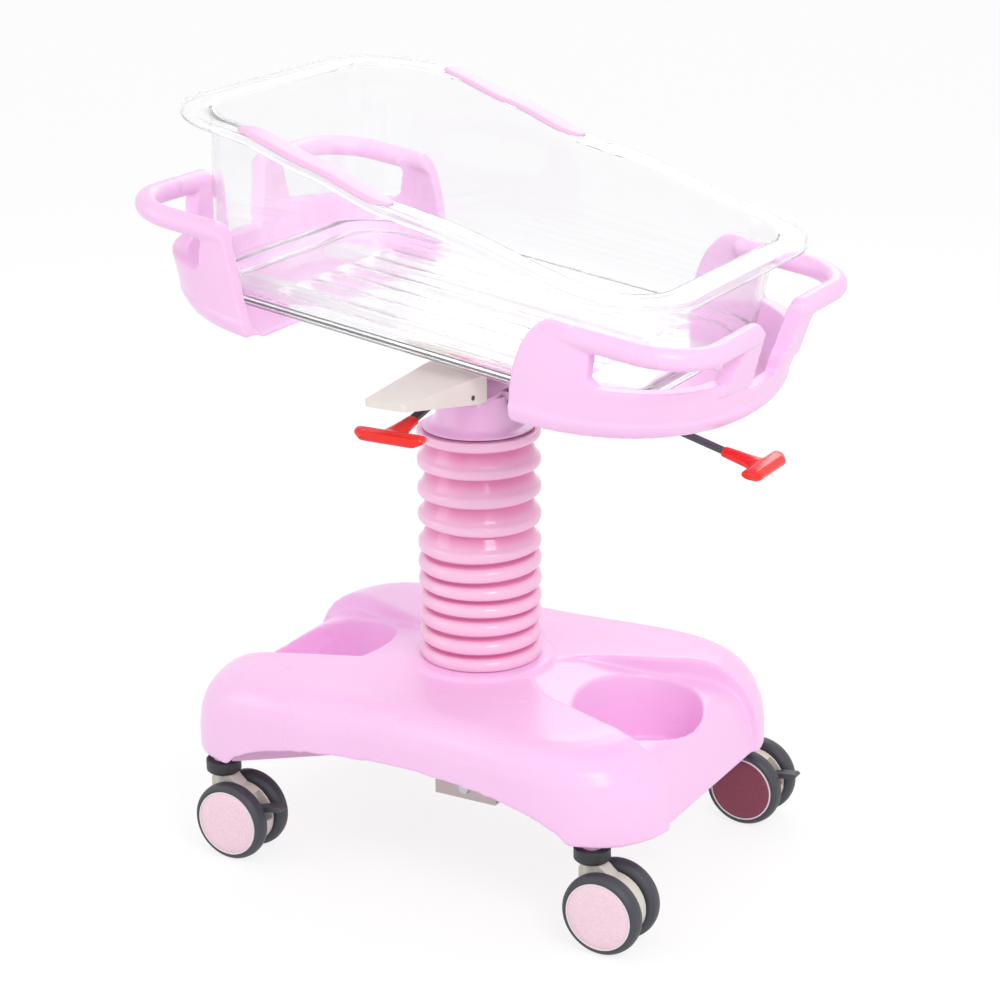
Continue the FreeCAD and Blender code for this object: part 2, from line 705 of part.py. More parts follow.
def tapered_channel(root, tip, root_half, tip_half, top, root_depth, tip_depth, flat):
    """A channel along -Y: web on top, flanges that taper in depth from root to tip."""
    plan = [vec(-root_half, -root, 0), vec(-tip_half, -tip + 4, 0), vec(-tip_half + 4, -tip, 0),
            vec(tip_half - 4, -tip, 0), vec(tip_half, -tip + 4, 0), vec(root_half, -root, 0)]
    low = [vec(p.x, p.y, top - 80) for p in plan]
    side = [vec(-90, -root, top), vec(-90, -tip, top), vec(-90, -tip, top - tip_depth),
            vec(-90, -root - flat, top - root_depth), vec(-90, -root, top - root_depth)]
    outer = prism(low, Z * 80).common(prism(side, X * 180))
    thin = [vec(-root_half + SHEET, -root + 1, top - 80), vec(-tip_half + SHEET, -tip + 6, top - 80),
            vec(-tip_half + 6, -tip + SHEET, top - 80), vec(tip_half - 6, -tip + SHEET, top - 80),
            vec(tip_half - SHEET, -tip + 6, top - 80), vec(root_half - SHEET, -root + 1, top - 80)]
    return outer.cut(prism(thin, Z * (80 - SHEET)))


def side_channel():
    channel = tapered_channel(CHANNEL_ROOT_Y, CHANNEL_TIP_Y, CHANNEL_ROOT_HALF, CHANNEL_TIP_HALF,
                              CHANNEL_TOP, CHANNEL_ROOT_DEPTH, CHANNEL_TIP_DEPTH, 16.0)
    neck = box(-CHANNEL_ROOT_HALF, CHANNEL_ROOT_HALF, -CHANNEL_ROOT_Y, -EAR_IN_Y - EAR_T - 4,
               CHANNEL_TOP - SHEET, CHANNEL_TOP)
    tongue = box(-YOKE_HALF_X, YOKE_HALF_X, -EAR_IN_Y - EAR_T - 4, -EAR_IN_Y - EAR_T,
                 CHANNEL_TOP - SHEET, CHANNEL_TOP)
    axle_room = rod(TILT_AXLE_R + 6, vec(0, -EAR_IN_Y - EAR_T - 3.0, PIVOT_Z), Y, 3.0)
    channel = fuse_all([channel, neck, tongue]).cut(axle_room)
    pin_hole = rod(LEVER_PIN_R, vec(-80, -LEVER_PIN_Y, LEVER_PIN_Z), X, 160)
    return channel.cut(pin_hole)


def side_channel_plugs():
    """Black plastic end pads in the two root corners of the side channel."""
    pad = 6.5
    plugs = []
    for side in (-1, 1):
        inner = CHANNEL_ROOT_HALF - SHEET - 7
        start = inner if side > 0 else -inner - pad
        low = CHANNEL_TOP - CHANNEL_ROOT_DEPTH
        plugs.append(box(start, start + pad, -CHANNEL_ROOT_Y - 1, -CHANNEL_ROOT_Y + 5,
                         low, CHANNEL_TOP - SHEET))
    return Part.makeCompound(plugs)


def flat_lever(points, width, pin, inner_r):
    """A flat bar along Y, following centre points, with a knuckle on its pin."""
    half = LEVER_T / 2
    upper = [vec(-width / 2, y, z + half) for y, z in points]
    lower = [vec(-width / 2, y, z - half) for y, z in reversed(points)]
    bar = prism(upper + lower, X * width)
    knuckle = rod(inner_r + 3.0, vec(-width / 2, pin[0], pin[1]), X, width)
    bar = fuse_all([bar, knuckle])
    return bar.cut(rod(inner_r + RUN_GAP, vec(-60, pin[0], pin[1]), X, 120))


def side_lever_rod():
    points = [(-20, LEVER_PIN_Z - 1), (-50, LEVER_PIN_Z - 1), (-LEVER_PIN_Y, LEVER_PIN_Z),
              (-150, LEVER_PIN_Z - 13), (-178, GRIP_Z + 2), (-192, GRIP_Z)]
    return flat_lever(points, LEVER_W, (-LEVER_PIN_Y, LEVER_PIN_Z), LEVER_PIN_R)


def tee_grip():
    """A moulded T grip, at its own origin: the bar along X, the neck towards +Y."""
    bar = []
    for share, lift, back in ((-1.0, 2.5, 5.0), (-0.75, 1.0, 1.5), (0.75, 1.0, 1.5), (1.0, 2.5, 5.0)):
        scale = 0.62 if abs(share) > 0.9 else 1.0
        half_y = GRIP_R * 1.35 * scale
        half_z = GRIP_R * 0.8 * scale
        x = share * GRIP_BAR_HALF
        corners = [(-half_y, -0.4 * half_z), (-0.5 * half_y, -half_z), (0.5 * half_y, -half_z),
                   (half_y, -0.4 * half_z), (half_y, 0.4 * half_z), (0.5 * half_y, half_z),
                   (-0.5 * half_y, half_z), (-half_y, 0.4 * half_z)]
        ring = [vec(x, back + y, lift + z) for y, z in corners]
        bar.append(Part.makePolygon(ring + [ring[0]]))
    cross = Part.makeLoft(bar, True, True)
    rings = []
    for y, half_x, half_z in ((4, 22.0, 5.8), (24, 13.5, 7.0), (56, 9.0, 6.0)):
        ring = Part.Ellipse(vec(0, y, 0), half_x, half_z).toShape()
        ring.rotate(vec(0, y, 0), X, 90)
        rings.append(Part.Wire([ring]))
    neck = Part.makeLoft(rings, True, False)
    return fuse_all([cross, neck])


def side_lever_grip():
    grip = tee_grip()
    grip.rotate(vec(0, 0, 0), X, SIDE_GRIP_TURN)
    grip.translate(vec(0, -GRIP_Y, GRIP_Z - 2))
    return grip.cut(side_lever_rod())


# Cradle: everything below is in the tub's own frame until it is tilted into place

def cradle_frame():
    rails = []
    for side in (-1, 1):
        y0 = side * RAIL_Y - RAIL_W / 2
        low = SHELL_FLOOR_Z + SHELL_FLOOR_T
        rail = box(-RAIL_HALF_L, RAIL_HALF_L, y0, y0 + RAIL_W, low, TUB_Z)
        rail = rail.cut(box(-RAIL_HALF_L, RAIL_HALF_L, y0 + 2, y0 + RAIL_W - 2, low + 2, TUB_Z - 2))
        rails.append(rail)
    low = SHELL_FLOOR_Z + SHELL_FLOOR_T
    plate = box(-PLATE_HALF_X, PLATE_HALF_X, -RAIL_Y - RAIL_W / 2, RAIL_Y + RAIL_W / 2,
                low - PLATE_T, low)
    hub = rod(HUB_TUBE_R, vec(0, -HUB_TUBE_HALF, 0), Y, 2 * HUB_TUBE_HALF)
    web = box(-10, 10, -HUB_TUBE_HALF, HUB_TUBE_HALF, 6, low - PLATE_T)
    hanger = box(FOOT_CH_ROOT_X + 4, FOOT_CH_ROOT_X + 40, -20, 20, FOOT_CH_TOP, low - PLATE_T)
    hanger = hanger.cut(box(FOOT_CH_ROOT_X + 7, FOOT_CH_ROOT_X + 37, -20, 20, FOOT_CH_TOP + 3,
                            low - PLATE_T - 3))
    frame = fuse_all(rails + [plate, hub, web, hanger])
    return frame.cut(rod(TILT_AXLE_R + RUN_GAP, vec(0, -60, 0), Y, 120))


def foot_channel():
    channel = tapered_channel(FOOT_CH_ROOT_X, FOOT_CH_TIP_X, FOOT_CH_ROOT_HALF, FOOT_CH_TIP_HALF,
                              FOOT_CH_TOP, FOOT_CH_ROOT_DEPTH, FOOT_CH_TIP_DEPTH, 16.0)
    channel.rotate(vec(0, 0, 0), Z, 90)
    holes = [rod(TILT_PIN_R, vec(TILT_ROD_X, -60, TILT_ROD_Z), Y, 120),
             rod(LEVER_PIN_R, vec(FOOT_PIN_X, -60, FOOT_PIN_Z), Y, 120)]
    return channel.cut(fuse_all(holes))


def foot_half_width(x):
    share = (x - FOOT_CH_ROOT_X) / (FOOT_CH_TIP_X - FOOT_CH_ROOT_X)
    return FOOT_CH_ROOT_HALF + (FOOT_CH_TIP_HALF - FOOT_CH_ROOT_HALF) * share


def cradle_pins():
    half_a = foot_half_width(TILT_ROD_X)
    half_b = foot_half_width(FOOT_PIN_X)
    spring_pin = rod(TILT_PIN_R, vec(TILT_ROD_X, -half_a - 1, TILT_ROD_Z), Y, 2 * half_a + 2)
    lever_pin = rod(LEVER_PIN_R, vec(FOOT_PIN_X, -half_b - 1, FOOT_PIN_Z), Y, 2 * half_b + 2)
    return Part.makeCompound([spring_pin, lever_pin])


def foot_lever_rod():
    points = [(-TILT_ROD_X - 13, -8), (-FOOT_PIN_X, FOOT_PIN_Z), (-300, -13), (-345, -19),
              (-FOOT_GRIP_X + 15, FOOT_GRIP_Z + 2)]
    lever = flat_lever(points, LEVER_W, (-FOOT_PIN_X, FOOT_PIN_Z), LEVER_PIN_R)
    lever.rotate(vec(0, 0, 0), Z, 90)
    return lever


def foot_lever_grip():
    grip = tee_grip()
    grip.rotate(vec(0, 0, 0), X, FOOT_GRIP_TURN)
    grip.translate(vec(0, -FOOT_GRIP_X, FOOT_GRIP_Z))
    grip.rotate(vec(0, 0, 0), Z, 90)
    return grip.cut(foot_lever_rod())


def tilt_spring_ends():
    """The tilt spring's foot pivot in the tub's frame, and its rod pivot."""
    turn = math.radians(TILT_DEG)
    drop = TILT_FOOT_Z - PIVOT_Z
    foot = vec(TILT_FOOT_X * math.cos(turn) - drop * math.sin(turn), 0,
               TILT_FOOT_X * math.sin(turn) + drop * math.cos(turn))
    return foot, vec(TILT_ROD_X, 0, TILT_ROD_Z)


def tilt_gas_rod():
    foot, head = tilt_spring_ends()
    along = (foot - head).normalize()
    eye = rod(TILT_EYE_R, head - Y * (TILT_EYE_W / 2), Y, TILT_EYE_W)
    shaft = rod(TILT_ROD_R, head + along * 3, along, 80)
    return fuse_all([eye, shaft]).cut(rod(TILT_PIN_R + RUN_GAP, head - Y * 20, Y, 40))


def tilt_gas_cylinder():
    foot, head = tilt_spring_ends()
    along = (foot - head).normalize()
    length = (foot - head).Length
    body = rod(TILT_SPRING_R, head + along * 38, along, length - 38 - 14)
    neck = rod(6.0, head + along * (length - 15), along, 12)
    eye = rod(TILT_EYE_R + 2, foot - Y * (TILT_EYE_W / 2), Y, TILT_EYE_W)
    open_hole = rod(TILT_PIN_R + TILT_OPEN_GAP, foot - Y * 20, Y, 40)
    bore = rod(TILT_ROD_R + RUN_GAP, head + along * 20, along, 96)
    return fuse_all([body, neck, eye]).cut(fuse_all([open_hole, bore]))


# End shells: moulded U-shaped ends with wings, handle bars and posts

def shell_size(z):
    """Half length past the centre, half width and squareness of the shell at a height."""
    marks = [(38.0, 188.0, 229.0, 2.15), (46.0, 194.0, 234.0, 2.2), (60.0, 197.0, 237.0, 2.35),
             (100.0, 200.0, 240.0, 2.75), (170.0, 202.0, 242.0, 3.0)]
    for lower, upper in zip(marks, marks[1:]):
        if z <= upper[0]:
            share = (z - lower[0]) / (upper[0] - lower[0])
            return [a + (b - a) * share for a, b in zip(lower[1:], upper[1:])]
    return marks[-1][1:]


def shell_section(z, inset):
    reach, half, power = shell_size(z)
    reach -= inset
    half -= inset
    points = []
    for step in range(15):
        angle = math.pi * (step / 14.0 - 0.5)
        across = math.copysign(abs(math.sin(angle)) ** (2.0 / power), math.sin(angle))
        ahead = max(0.0, math.cos(angle)) ** (2.0 / power)
        points.append(vec(SHELL_XE + reach * ahead, half * across, z))
    back_a = vec(SHELL_FREE_X - 30, half, z)
    back_b = vec(SHELL_FREE_X - 30, -half, z)
    return Part.Wire([spline_edge(points), line_edge(points[-1], back_a),
                      line_edge(back_a, back_b), line_edge(back_b, points[0])])


def shell_loft(heights, inset):
    return Part.makeLoft([shell_section(z, inset) for z in heights], True, False)


def shell_profile():
    """The side outline: an S-shaped free edge, the wing's round top, and the window's sill."""
    edge = [vec(SHELL_FREE_X + 4, -400, 30), vec(SHELL_FREE_X, -400, 62), vec(170, -400, 105),
            vec(180, -400, 140), vec(194, -400, 160)]
    top = [edge[-1], vec(206, -400, WING_TOP), vec(228, -400, WING_TOP), vec(252, -400, 157)]
    post = [vec(WINDOW_X + 10, -400, 150), vec(WINDOW_X, -400, 140), vec(WINDOW_X, -400, SILL_Z + 9),
            vec(WINDOW_X + 9, -400, SILL_Z), vec(460, -400, SILL_Z), vec(460, -400, 30)]
    edges = [spline_edge(edge), spline_edge(top), line_edge(top[-1], post[0])]
    for a, b in zip(post, post[1:]):
        edges.append(line_edge(a, b))
    edges.append(line_edge(post[-1], edge[0]))
    return Part.Face(Part.Wire(edges)).extrude(Y * 800)


def handle_bar():
    """One round bar from the wing's top round the corner to the post's head."""
    start = vec(226, BAR_Y, BAR_Z)
    corner = vec(BAR_X - BAR_BEND, BAR_Y - BAR_BEND, BAR_Z)
    end = vec(BAR_X, POST_IN_Y + BAR_R + 8, BAR_Z)
    long_run = rod(BAR_R, start, X, corner.x - start.x)
    bend = Part.makeTorus(BAR_BEND, BAR_R, corner, Z, 0, 360, 90)
    cross_run = rod(BAR_R, end, Y, corner.y - end.y)
    return [long_run, bend, cross_run, Part.makeSphere(BAR_R, start), Part.makeSphere(BAR_R, end)]


def handle_post():
    """The post that rises from the end wall, leaning out to the bar's end."""
    low_z = SILL_Z - 14
    low = [vec(353, POST_IN_Y - 5, low_z), vec(372, POST_IN_Y - 5, low_z),
           vec(366, POST_OUT_Y, low_z), vec(348, POST_OUT_Y, low_z)]
    high_z = BAR_Z + 3
    high = [vec(BAR_X - 11, POST_IN_Y + 7, high_z), vec(BAR_X + 11, POST_IN_Y + 7, high_z),
            vec(BAR_X + 11, POST_OUT_Y - 18, high_z), vec(BAR_X - 11, POST_OUT_Y - 18, high_z)]
    wires = [Part.makePolygon(low + [low[0]]), Part.makePolygon(high + [high[0]])]
    return Part.makeLoft(wires, True, True)


def end_shell():
    low = [38.0, 46.0, 60.0, 80.0, 100.0, 135.0, 170.0]
    floor = SHELL_FLOOR_Z + SHELL_FLOOR_T
    wall = shell_loft(low, 0.0).cut(shell_loft([floor, 60.0, 80.0, 100.0, 135.0, 172.0], SHELL_WALL))
    band = shell_loft([38.0, 46.0, BELT_Z], -SHELL_BAND).cut(shell_loft([37.9, 46.0, BELT_Z + 1], 2.0))
    body = fuse_all([wall, band]).common(shell_profile())
    notch = prism([vec(300, -POST_IN_Y + 6, NOTCH_Z), vec(300, POST_IN_Y - 6, NOTCH_Z),
                   vec(300, POST_IN_Y, 190), vec(300, -POST_IN_Y, 190)], X * 140)
    body = body.cut(notch)
    extras = handle_bar() + [handle_post()]
    extras = extras + [mirror_y(shape) for shape in extras]
    body = body.multiFuse(extras)
    relief = fuse_all([box(100, RAIL_HALF_L + SEAT_GAP, side * RAIL_Y - RAIL_W / 2 - SEAT_GAP,
                           side * RAIL_Y + RAIL_W / 2 + SEAT_GAP, floor, TUB_Z) for side in (-1, 1)])
    return one_solid(body.cut(relief).removeSplitter())


def head_wing_cut():
    """What the head end's wings lack beside the foot end's: their free edge leans further back."""
    edge = [vec(178, 214, 14), vec(187, 214, 58), vec(192.5, 214, 72), vec(202, 214, 103),
            vec(213, 214, 133), vec(225, 214, 154), vec(242, 214, 167.5), vec(262, 214, 174)]
    above = vec(262, 214, 200)
    ahead = vec(120, 214, 200)
    below = vec(120, 214, 14)
    outline = [spline_edge(edge), line_edge(edge[-1], above), line_edge(above, ahead),
               line_edge(ahead, below), line_edge(below, edge[0])]
    block = Part.Face(Part.Wire(outline)).extrude(Y * 40)
    return Part.makeCompound([block, mirror_y(block)])


def shell_screws():
    """Pan-head screws that hold each end shell up to the cradle's rails."""
    screws = []
    for side_x in (-1, 1):
        for side_y in (-1, 1):
            for reach in (206.0, 262.0):
                place = vec(side_x * reach, side_y * RAIL_Y, 0)
                screw = revolve([(0, SHELL_FLOOR_Z - 3), (4, SHELL_FLOOR_Z - 3),
                                 (5.5, SHELL_FLOOR_Z), (0, SHELL_FLOOR_Z)])
                screw.translate(place)
                screws.append(screw)
    return Part.makeCompound(screws)


# Tub: clear moulded tray with flared walls, a fluted floor and a rolled rim

def rounded_plan(half_l, half_w, corner, z):
    """A rounded rectangle as one closed wire of four lines and four arcs."""
    edges = []
    bend = corner * (1 - math.sqrt(0.5))
    corners = [(1, 1), (-1, 1), (-1, -1), (1, -1)]
    for index, (sx, sy) in enumerate(corners):
        mid = vec(sx * (half_l - bend), sy * (half_w - bend), z)
        along = vec(sx * half_l, sy * (half_w - corner), z)
        across = vec(sx * (half_l - corner), sy * half_w, z)
        first, last = (along, across) if index % 2 == 0 else (across, along)
        edges.append(Part.Arc(first, mid, last).toShape())
        nx, ny = corners[(index + 1) % 4]
        if index % 2 == 0:
            target = vec(nx * (half_l - corner), ny * half_w, z)
        else:
            target = vec(nx * half_l, ny * (half_w - corner), z)
        edges.append(line_edge(last, target))
    return Part.Wire(edges)


def tub_plan(z, grow):
    """The tub's outer plan at a height: it tucks in under the lip and flares slowly above."""
    lip_z = TUB_Z + 15.0
    if z < lip_z:
        share = (z - TUB_Z) / 15.0
        half_l = TUB_L - TUB_FOOT_IN_L + (TUB_FOOT_IN_L - 13.0) * share
        half_w = TUB_W - TUB_FOOT_IN_W + (TUB_FOOT_IN_W - 11.0) * share
    else:
        share = (z - lip_z) / (RIM_HEAD - lip_z)
        half_l = TUB_L - 13.0 * (1 - share)
        half_w = TUB_W - 11.0 * (1 - share)
    return rounded_plan(half_l + grow, half_w + grow, TUB_CORNER - 12.0 + grow, z)


def tub_loft(heights, grow):
    return Part.makeLoft([tub_plan(z, grow) for z in heights], True, True)


def rim_points(lift):
    return [vec(-420, -300, RIM_HEAD + lift), vec(-240, -300, RIM_HEAD + lift),
            vec(-205, -300, RIM_HEAD - 2 + lift), vec(-110, -300, (RIM_HEAD + RIM_MID) / 2 + 1 + lift),
            vec(-15, -300, RIM_MID + 1 + lift), vec(40, -300, RIM_MID - 3 + lift),
            vec(250, -300, RIM_FOOT + 3 + lift), vec(420, -300, RIM_FOOT + lift)]


def rim_slab(high, low):
    """The band between two heights below the rim line, right across the tub."""
    upper = rim_points(high)
    lower = rim_points(low)
    wire = Part.Wire([spline_edge(upper), line_edge(upper[-1], lower[-1]),
                      spline_edge(lower[::-1]), line_edge(lower[0], upper[0])])
    return Part.Face(wire).extrude(Y * 600)


def below_rim():
    upper = rim_points(0.0)
    low_b = vec(420, -300, 20)
    low_a = vec(-420, -300, 20)
    wire = Part.Wire([spline_edge(upper), line_edge(upper[-1], low_b), line_edge(low_b, low_a),
                      line_edge(low_a, upper[0])])
    return Part.Face(wire).extrude(Y * 600)


def tub_flutes():
    """Round-ended grooves along the tub's floor."""
    grooves = []
    for index in range(FLUTE_COUNT):
        y = (index - (FLUTE_COUNT - 1) / 2.0) * FLUTE_PITCH
        z = TUB_Z + TUB_FLOOR - FLUTE_DEPTH
        half = FLUTE_W / 2
        reach = FLUTE_HALF_L - half
        bar = box(-reach, reach, y - half, y + half, z, z + FLUTE_DEPTH + 1)
        ends = [rod(half, vec(side * reach, y, z), Z, FLUTE_DEPTH + 1) for side in (-1, 1)]
        grooves.append(fuse_all([bar] + ends))
    return grooves


def tub():
    outer = tub_loft([TUB_Z, TUB_Z + 15, RIM_HEAD + 8], 0.0)
    floor = TUB_Z + TUB_FLOOR
    inner = tub_loft([floor, TUB_Z + 15, RIM_HEAD + 20], -TUB_WALL)
    bead = tub_loft([TUB_Z + 5, TUB_Z + 13], 4.0)
    body = fuse_all([outer, bead]).cut(inner).common(below_rim())
    flange_heights = [TUB_Z + 15, RIM_HEAD + 20]
    wide = tub_loft(flange_heights, RIM_OUT)
    hole = tub_loft(flange_heights, -TUB_WALL)
    flange = wide.cut(hole).common(rim_slab(0.0, -RIM_T))
    lip = wide.cut(tub_loft(flange_heights, RIM_OUT - RIM_T)).common(rim_slab(0.0, -RIM_LIP))
    body = body.multiFuse([flange, lip])
    body = body.cut(Part.makeCompound(tub_flutes()))
    return one_solid(body.removeSplitter())


def rim_grip():
    """The near pink strip that covers the rim's edge along the S-shaped drop."""
    half_y = TUB_W + RIM_OUT
    band = rim_slab(STRIP_T, 0.0)
    y_out = -half_y + 2.0
    y_in = y_out + STRIP_W
    mid = (y_out + y_in) / 2
    plan = [vec(STRIP_X0 + 26, y_out, 100), vec(STRIP_X0 + 8, y_out + 5, 100), vec(STRIP_X0, mid, 100),
            vec(STRIP_X0 + 8, y_in - 5, 100), vec(STRIP_X0 + 26, y_in, 100)]
    tail = [vec(STRIP_X1 - 30, y_in, 100), vec(STRIP_X1 - 6, y_in - 2, 100),
            vec(STRIP_X1, mid - 2, 100), vec(STRIP_X1 - 6, y_out + 4, 100),
            vec(STRIP_X1 - 20, y_out, 100)]
    wire = Part.Wire([spline_edge(plan), line_edge(plan[-1], tail[0]), spline_edge(tail),
                      line_edge(tail[-1], plan[0])])
    return band.common(Part.Face(wire).extrude(Z * 260))


# Write one file for each node

os.makedirs("parts", exist_ok=True)

save("base_cover", base_cover())
save("chassis_frame", chassis_frame())
save("mast_foot_bracket", mast_foot_bracket())
save("foot_bolt", foot_bolt())
save("mast_outer_tube", mast_outer_tube())
save("mast_bush", mast_bush())
save("lift_spring_cylinder", lift_spring_cylinder())
save("caster_collars", caster_collars())
save("caster_kingpins", caster_kingpins())

for end, side_x in (("head", -1), ("foot", 1)):
    for flank, side_y in (("near", -1), ("far", 1)):
        corner = end + "_" + flank
        place = vec(side_x * STEM_X, side_y * STEM_Y, 0)
        braked = side_x == side_y
        pieces = {"hood": caster_hood(braked), "axle": caster_axle(),
                  "wheel_a": caster_wheel(-1), "wheel_b": caster_wheel(1),
                  "cap_a": caster_cap(-1), "cap_b": caster_cap(1)}
        if braked:
            pieces["pedal"] = caster_pedal()
        for piece, shape in pieces.items():
            shape.translate(place)
            save("caster_" + corner + "_" + piece, shape)

save("bellows", bellows())
save("bellows_clamp", bellows_clamp())
save("mast_inner_tube", mast_inner_tube())
save("lift_spring_rod", lift_spring_rod())
save("mast_cone", mast_cone())
save("pivot_bracket", pivot_bracket())
save("tilt_axle", tilt_axle())
save("mast_head_pins", mast_head_pins())
save("side_channel", side_channel())
save("side_channel_plugs", side_channel_plugs())
save("side_lever_rod", side_lever_rod())
save("side_lever_grip", side_lever_grip())

foot_shell = end_shell()
near_grip = rim_grip()
save("cradle_frame", tilted(cradle_frame()))
save("foot_end_shell", tilted(foot_shell))
head_shell = one_solid(foot_shell.cut(head_wing_cut()))
save("head_end_shell", tilted(mirror_x(head_shell)))
save("shell_screws", tilted(shell_screws()))
save("foot_channel", tilted(foot_channel()))
save("cradle_pins", tilted(cradle_pins()))
save("foot_lever_rod", tilted(foot_lever_rod()))
save("foot_lever_grip", tilted(foot_lever_grip()))
save("tilt_gas_rod", tilted(tilt_gas_rod()))
save("tilt_gas_cylinder", tilted(tilt_gas_cylinder()))
save("tub", tilted(tub()))
save("near_rim_grip", tilted(near_grip))
save("far_rim_grip", tilted(mirror_y(near_grip)))
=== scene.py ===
import json
import math

import bmesh
import bpy
from mathutils import Matrix, Vector

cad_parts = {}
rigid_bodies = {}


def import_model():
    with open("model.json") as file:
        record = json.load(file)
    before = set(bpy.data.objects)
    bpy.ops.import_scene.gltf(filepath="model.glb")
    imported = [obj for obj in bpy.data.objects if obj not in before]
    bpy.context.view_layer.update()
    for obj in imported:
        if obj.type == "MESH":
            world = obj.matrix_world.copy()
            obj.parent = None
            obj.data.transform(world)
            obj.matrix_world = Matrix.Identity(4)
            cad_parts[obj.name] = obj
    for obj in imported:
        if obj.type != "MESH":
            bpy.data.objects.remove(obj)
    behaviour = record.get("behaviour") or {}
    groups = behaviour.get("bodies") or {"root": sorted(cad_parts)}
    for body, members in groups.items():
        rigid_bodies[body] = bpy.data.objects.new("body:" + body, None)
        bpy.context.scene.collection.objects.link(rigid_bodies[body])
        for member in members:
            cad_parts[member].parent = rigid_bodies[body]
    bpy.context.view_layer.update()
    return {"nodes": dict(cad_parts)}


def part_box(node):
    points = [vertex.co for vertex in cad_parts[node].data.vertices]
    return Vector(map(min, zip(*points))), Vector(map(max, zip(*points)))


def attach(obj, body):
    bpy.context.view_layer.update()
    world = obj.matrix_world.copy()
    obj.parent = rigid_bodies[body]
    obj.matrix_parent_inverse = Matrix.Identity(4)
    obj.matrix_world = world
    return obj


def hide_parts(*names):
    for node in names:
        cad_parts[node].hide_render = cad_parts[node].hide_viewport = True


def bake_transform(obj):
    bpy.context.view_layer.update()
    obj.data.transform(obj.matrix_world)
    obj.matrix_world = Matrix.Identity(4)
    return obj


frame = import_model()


# View: a long lens at a standing adult's height, off the foot end's near corner.
# The place and the lens come from matching the casters, column and tub of the photograph.
CAMERA_PLACE = Vector((1.53389, -2.63727, 1.47794))
CAMERA_FORWARD = Vector((-0.46938671, 0.82264363, -0.32083264))
CAMERA_UP = Vector((-0.15058858, 0.28344425, 0.94709157))
CAMERA_RIGHT = Vector((0.87005701, 0.49286592, -0.00916423))
LENS_MM = 94.14
SENSOR_MM = 36.0


def add_object(name, data):
    """Puts a new object with this data into the scene."""
    added = bpy.data.objects.new(name, data)
    bpy.context.scene.collection.objects.link(added)
    return added


camera_data = bpy.data.cameras.new("camera")
camera_data.lens = LENS_MM
camera_data.sensor_width = SENSOR_MM
camera = add_object("camera", camera_data)
turn = Matrix((CAMERA_RIGHT, CAMERA_UP, -CAMERA_FORWARD)).transposed().to_4x4()
camera.matrix_world = Matrix.Translation(CAMERA_PLACE) @ turn
bpy.context.scene.camera = camera
bpy.context.scene.view_settings.view_transform = "Standard"


# Studio: a white cyclorama lit evenly, with one large soft lamp high on the camera's right,
# which puts the gloss on the column's right side, a weak one on its left and one behind.

def linear(hex_text):
    """An sRGB hex colour as the linear values that shaders take."""
    parts = [int(hex_text[place:place + 2], 16) / 255.0 for place in (1, 3, 5)]
    values = [p / 12.92 if p <= 0.04045 else ((p + 0.055) / 1.055) ** 2.4 for p in parts]
    return (*values, 1.0)


def add_node(tree, kind, values=None, links=None, **own):
    """Adds one node with its own settings, its sockets' values, and the sockets that feed it."""
    node = tree.nodes.new("ShaderNode" + kind)
    for name, value in own.items():
        setattr(node, name, value)
    for name, value in (values or {}).items():
        node.inputs[name].default_value = value
    for name, source in (links or {}).items():
        tree.links.new(source, node.inputs[name])
    return node


def new_material(name):
    material = bpy.data.materials.new(name)
    material.use_nodes = True
    material.node_tree.nodes.clear()
    return material


def seen_directly(tree):
    """1 for what the camera sees straight, in a reflection or through clear plastic."""
    path = add_node(tree, "LightPath")
    some = add_node(tree, "Math",
                    links={0: path.outputs["Is Camera Ray"], 1: path.outputs["Is Glossy Ray"]},
                    operation="MAXIMUM")
    return add_node(tree, "Math",
                    links={0: some.outputs[0], 1: path.outputs["Is Transmission Ray"]},
                    operation="MAXIMUM")


ROOM_LIGHT = 0.74
BACKDROP_WHITE = 1.0
FLOOR_HALF = 30.0
FLOOR_SHADOW = 0.24
FLOOR_GLOW = 1.07

world = bpy.data.worlds.new("white_studio")
world.use_nodes = True
world.node_tree.nodes.clear()
seen = seen_directly(world.node_tree)
room = add_node(world.node_tree, "Background", {"Color": linear("#FFFFFF"), "Strength": ROOM_LIGHT})
backdrop = add_node(world.node_tree, "Background",
                    {"Color": linear("#FFFFFF"), "Strength": BACKDROP_WHITE})
sky = add_node(world.node_tree, "MixShader",
               links={0: seen.outputs[0], 1: room.outputs[0], 2: backdrop.outputs[0]})
add_node(world.node_tree, "OutputWorld", links={"Surface": sky.outputs[0]})
bpy.context.scene.world = world

studio_floor = new_material("white_studio_floor")
tree = studio_floor.node_tree
paint = add_node(tree, "BsdfDiffuse", {"Color": linear("#F4F4F4")})
glow = add_node(tree, "Emission", {"Color": linear("#FFFFFF"), "Strength": FLOOR_GLOW})
seen = seen_directly(tree)
share = add_node(tree, "Math", {1: 1.0 - FLOOR_SHADOW}, {0: seen.outputs[0]}, operation="MULTIPLY")
surface = add_node(tree, "MixShader",
                   links={0: share.outputs[0], 1: paint.outputs[0], 2: glow.outputs[0]})
add_node(tree, "OutputMaterial", links={"Surface": surface.outputs[0]})

floor_mesh = bpy.data.meshes.new("floor")
floor_corners = [(-FLOOR_HALF, -FLOOR_HALF, 0), (FLOOR_HALF, -FLOOR_HALF, 0),
                 (FLOOR_HALF, FLOOR_HALF, 0), (-FLOOR_HALF, FLOOR_HALF, 0)]
floor_mesh.from_pydata(floor_corners, [], [(0, 1, 2, 3)])
floor_mesh.materials.append(studio_floor)
floor = add_object("floor", floor_mesh)

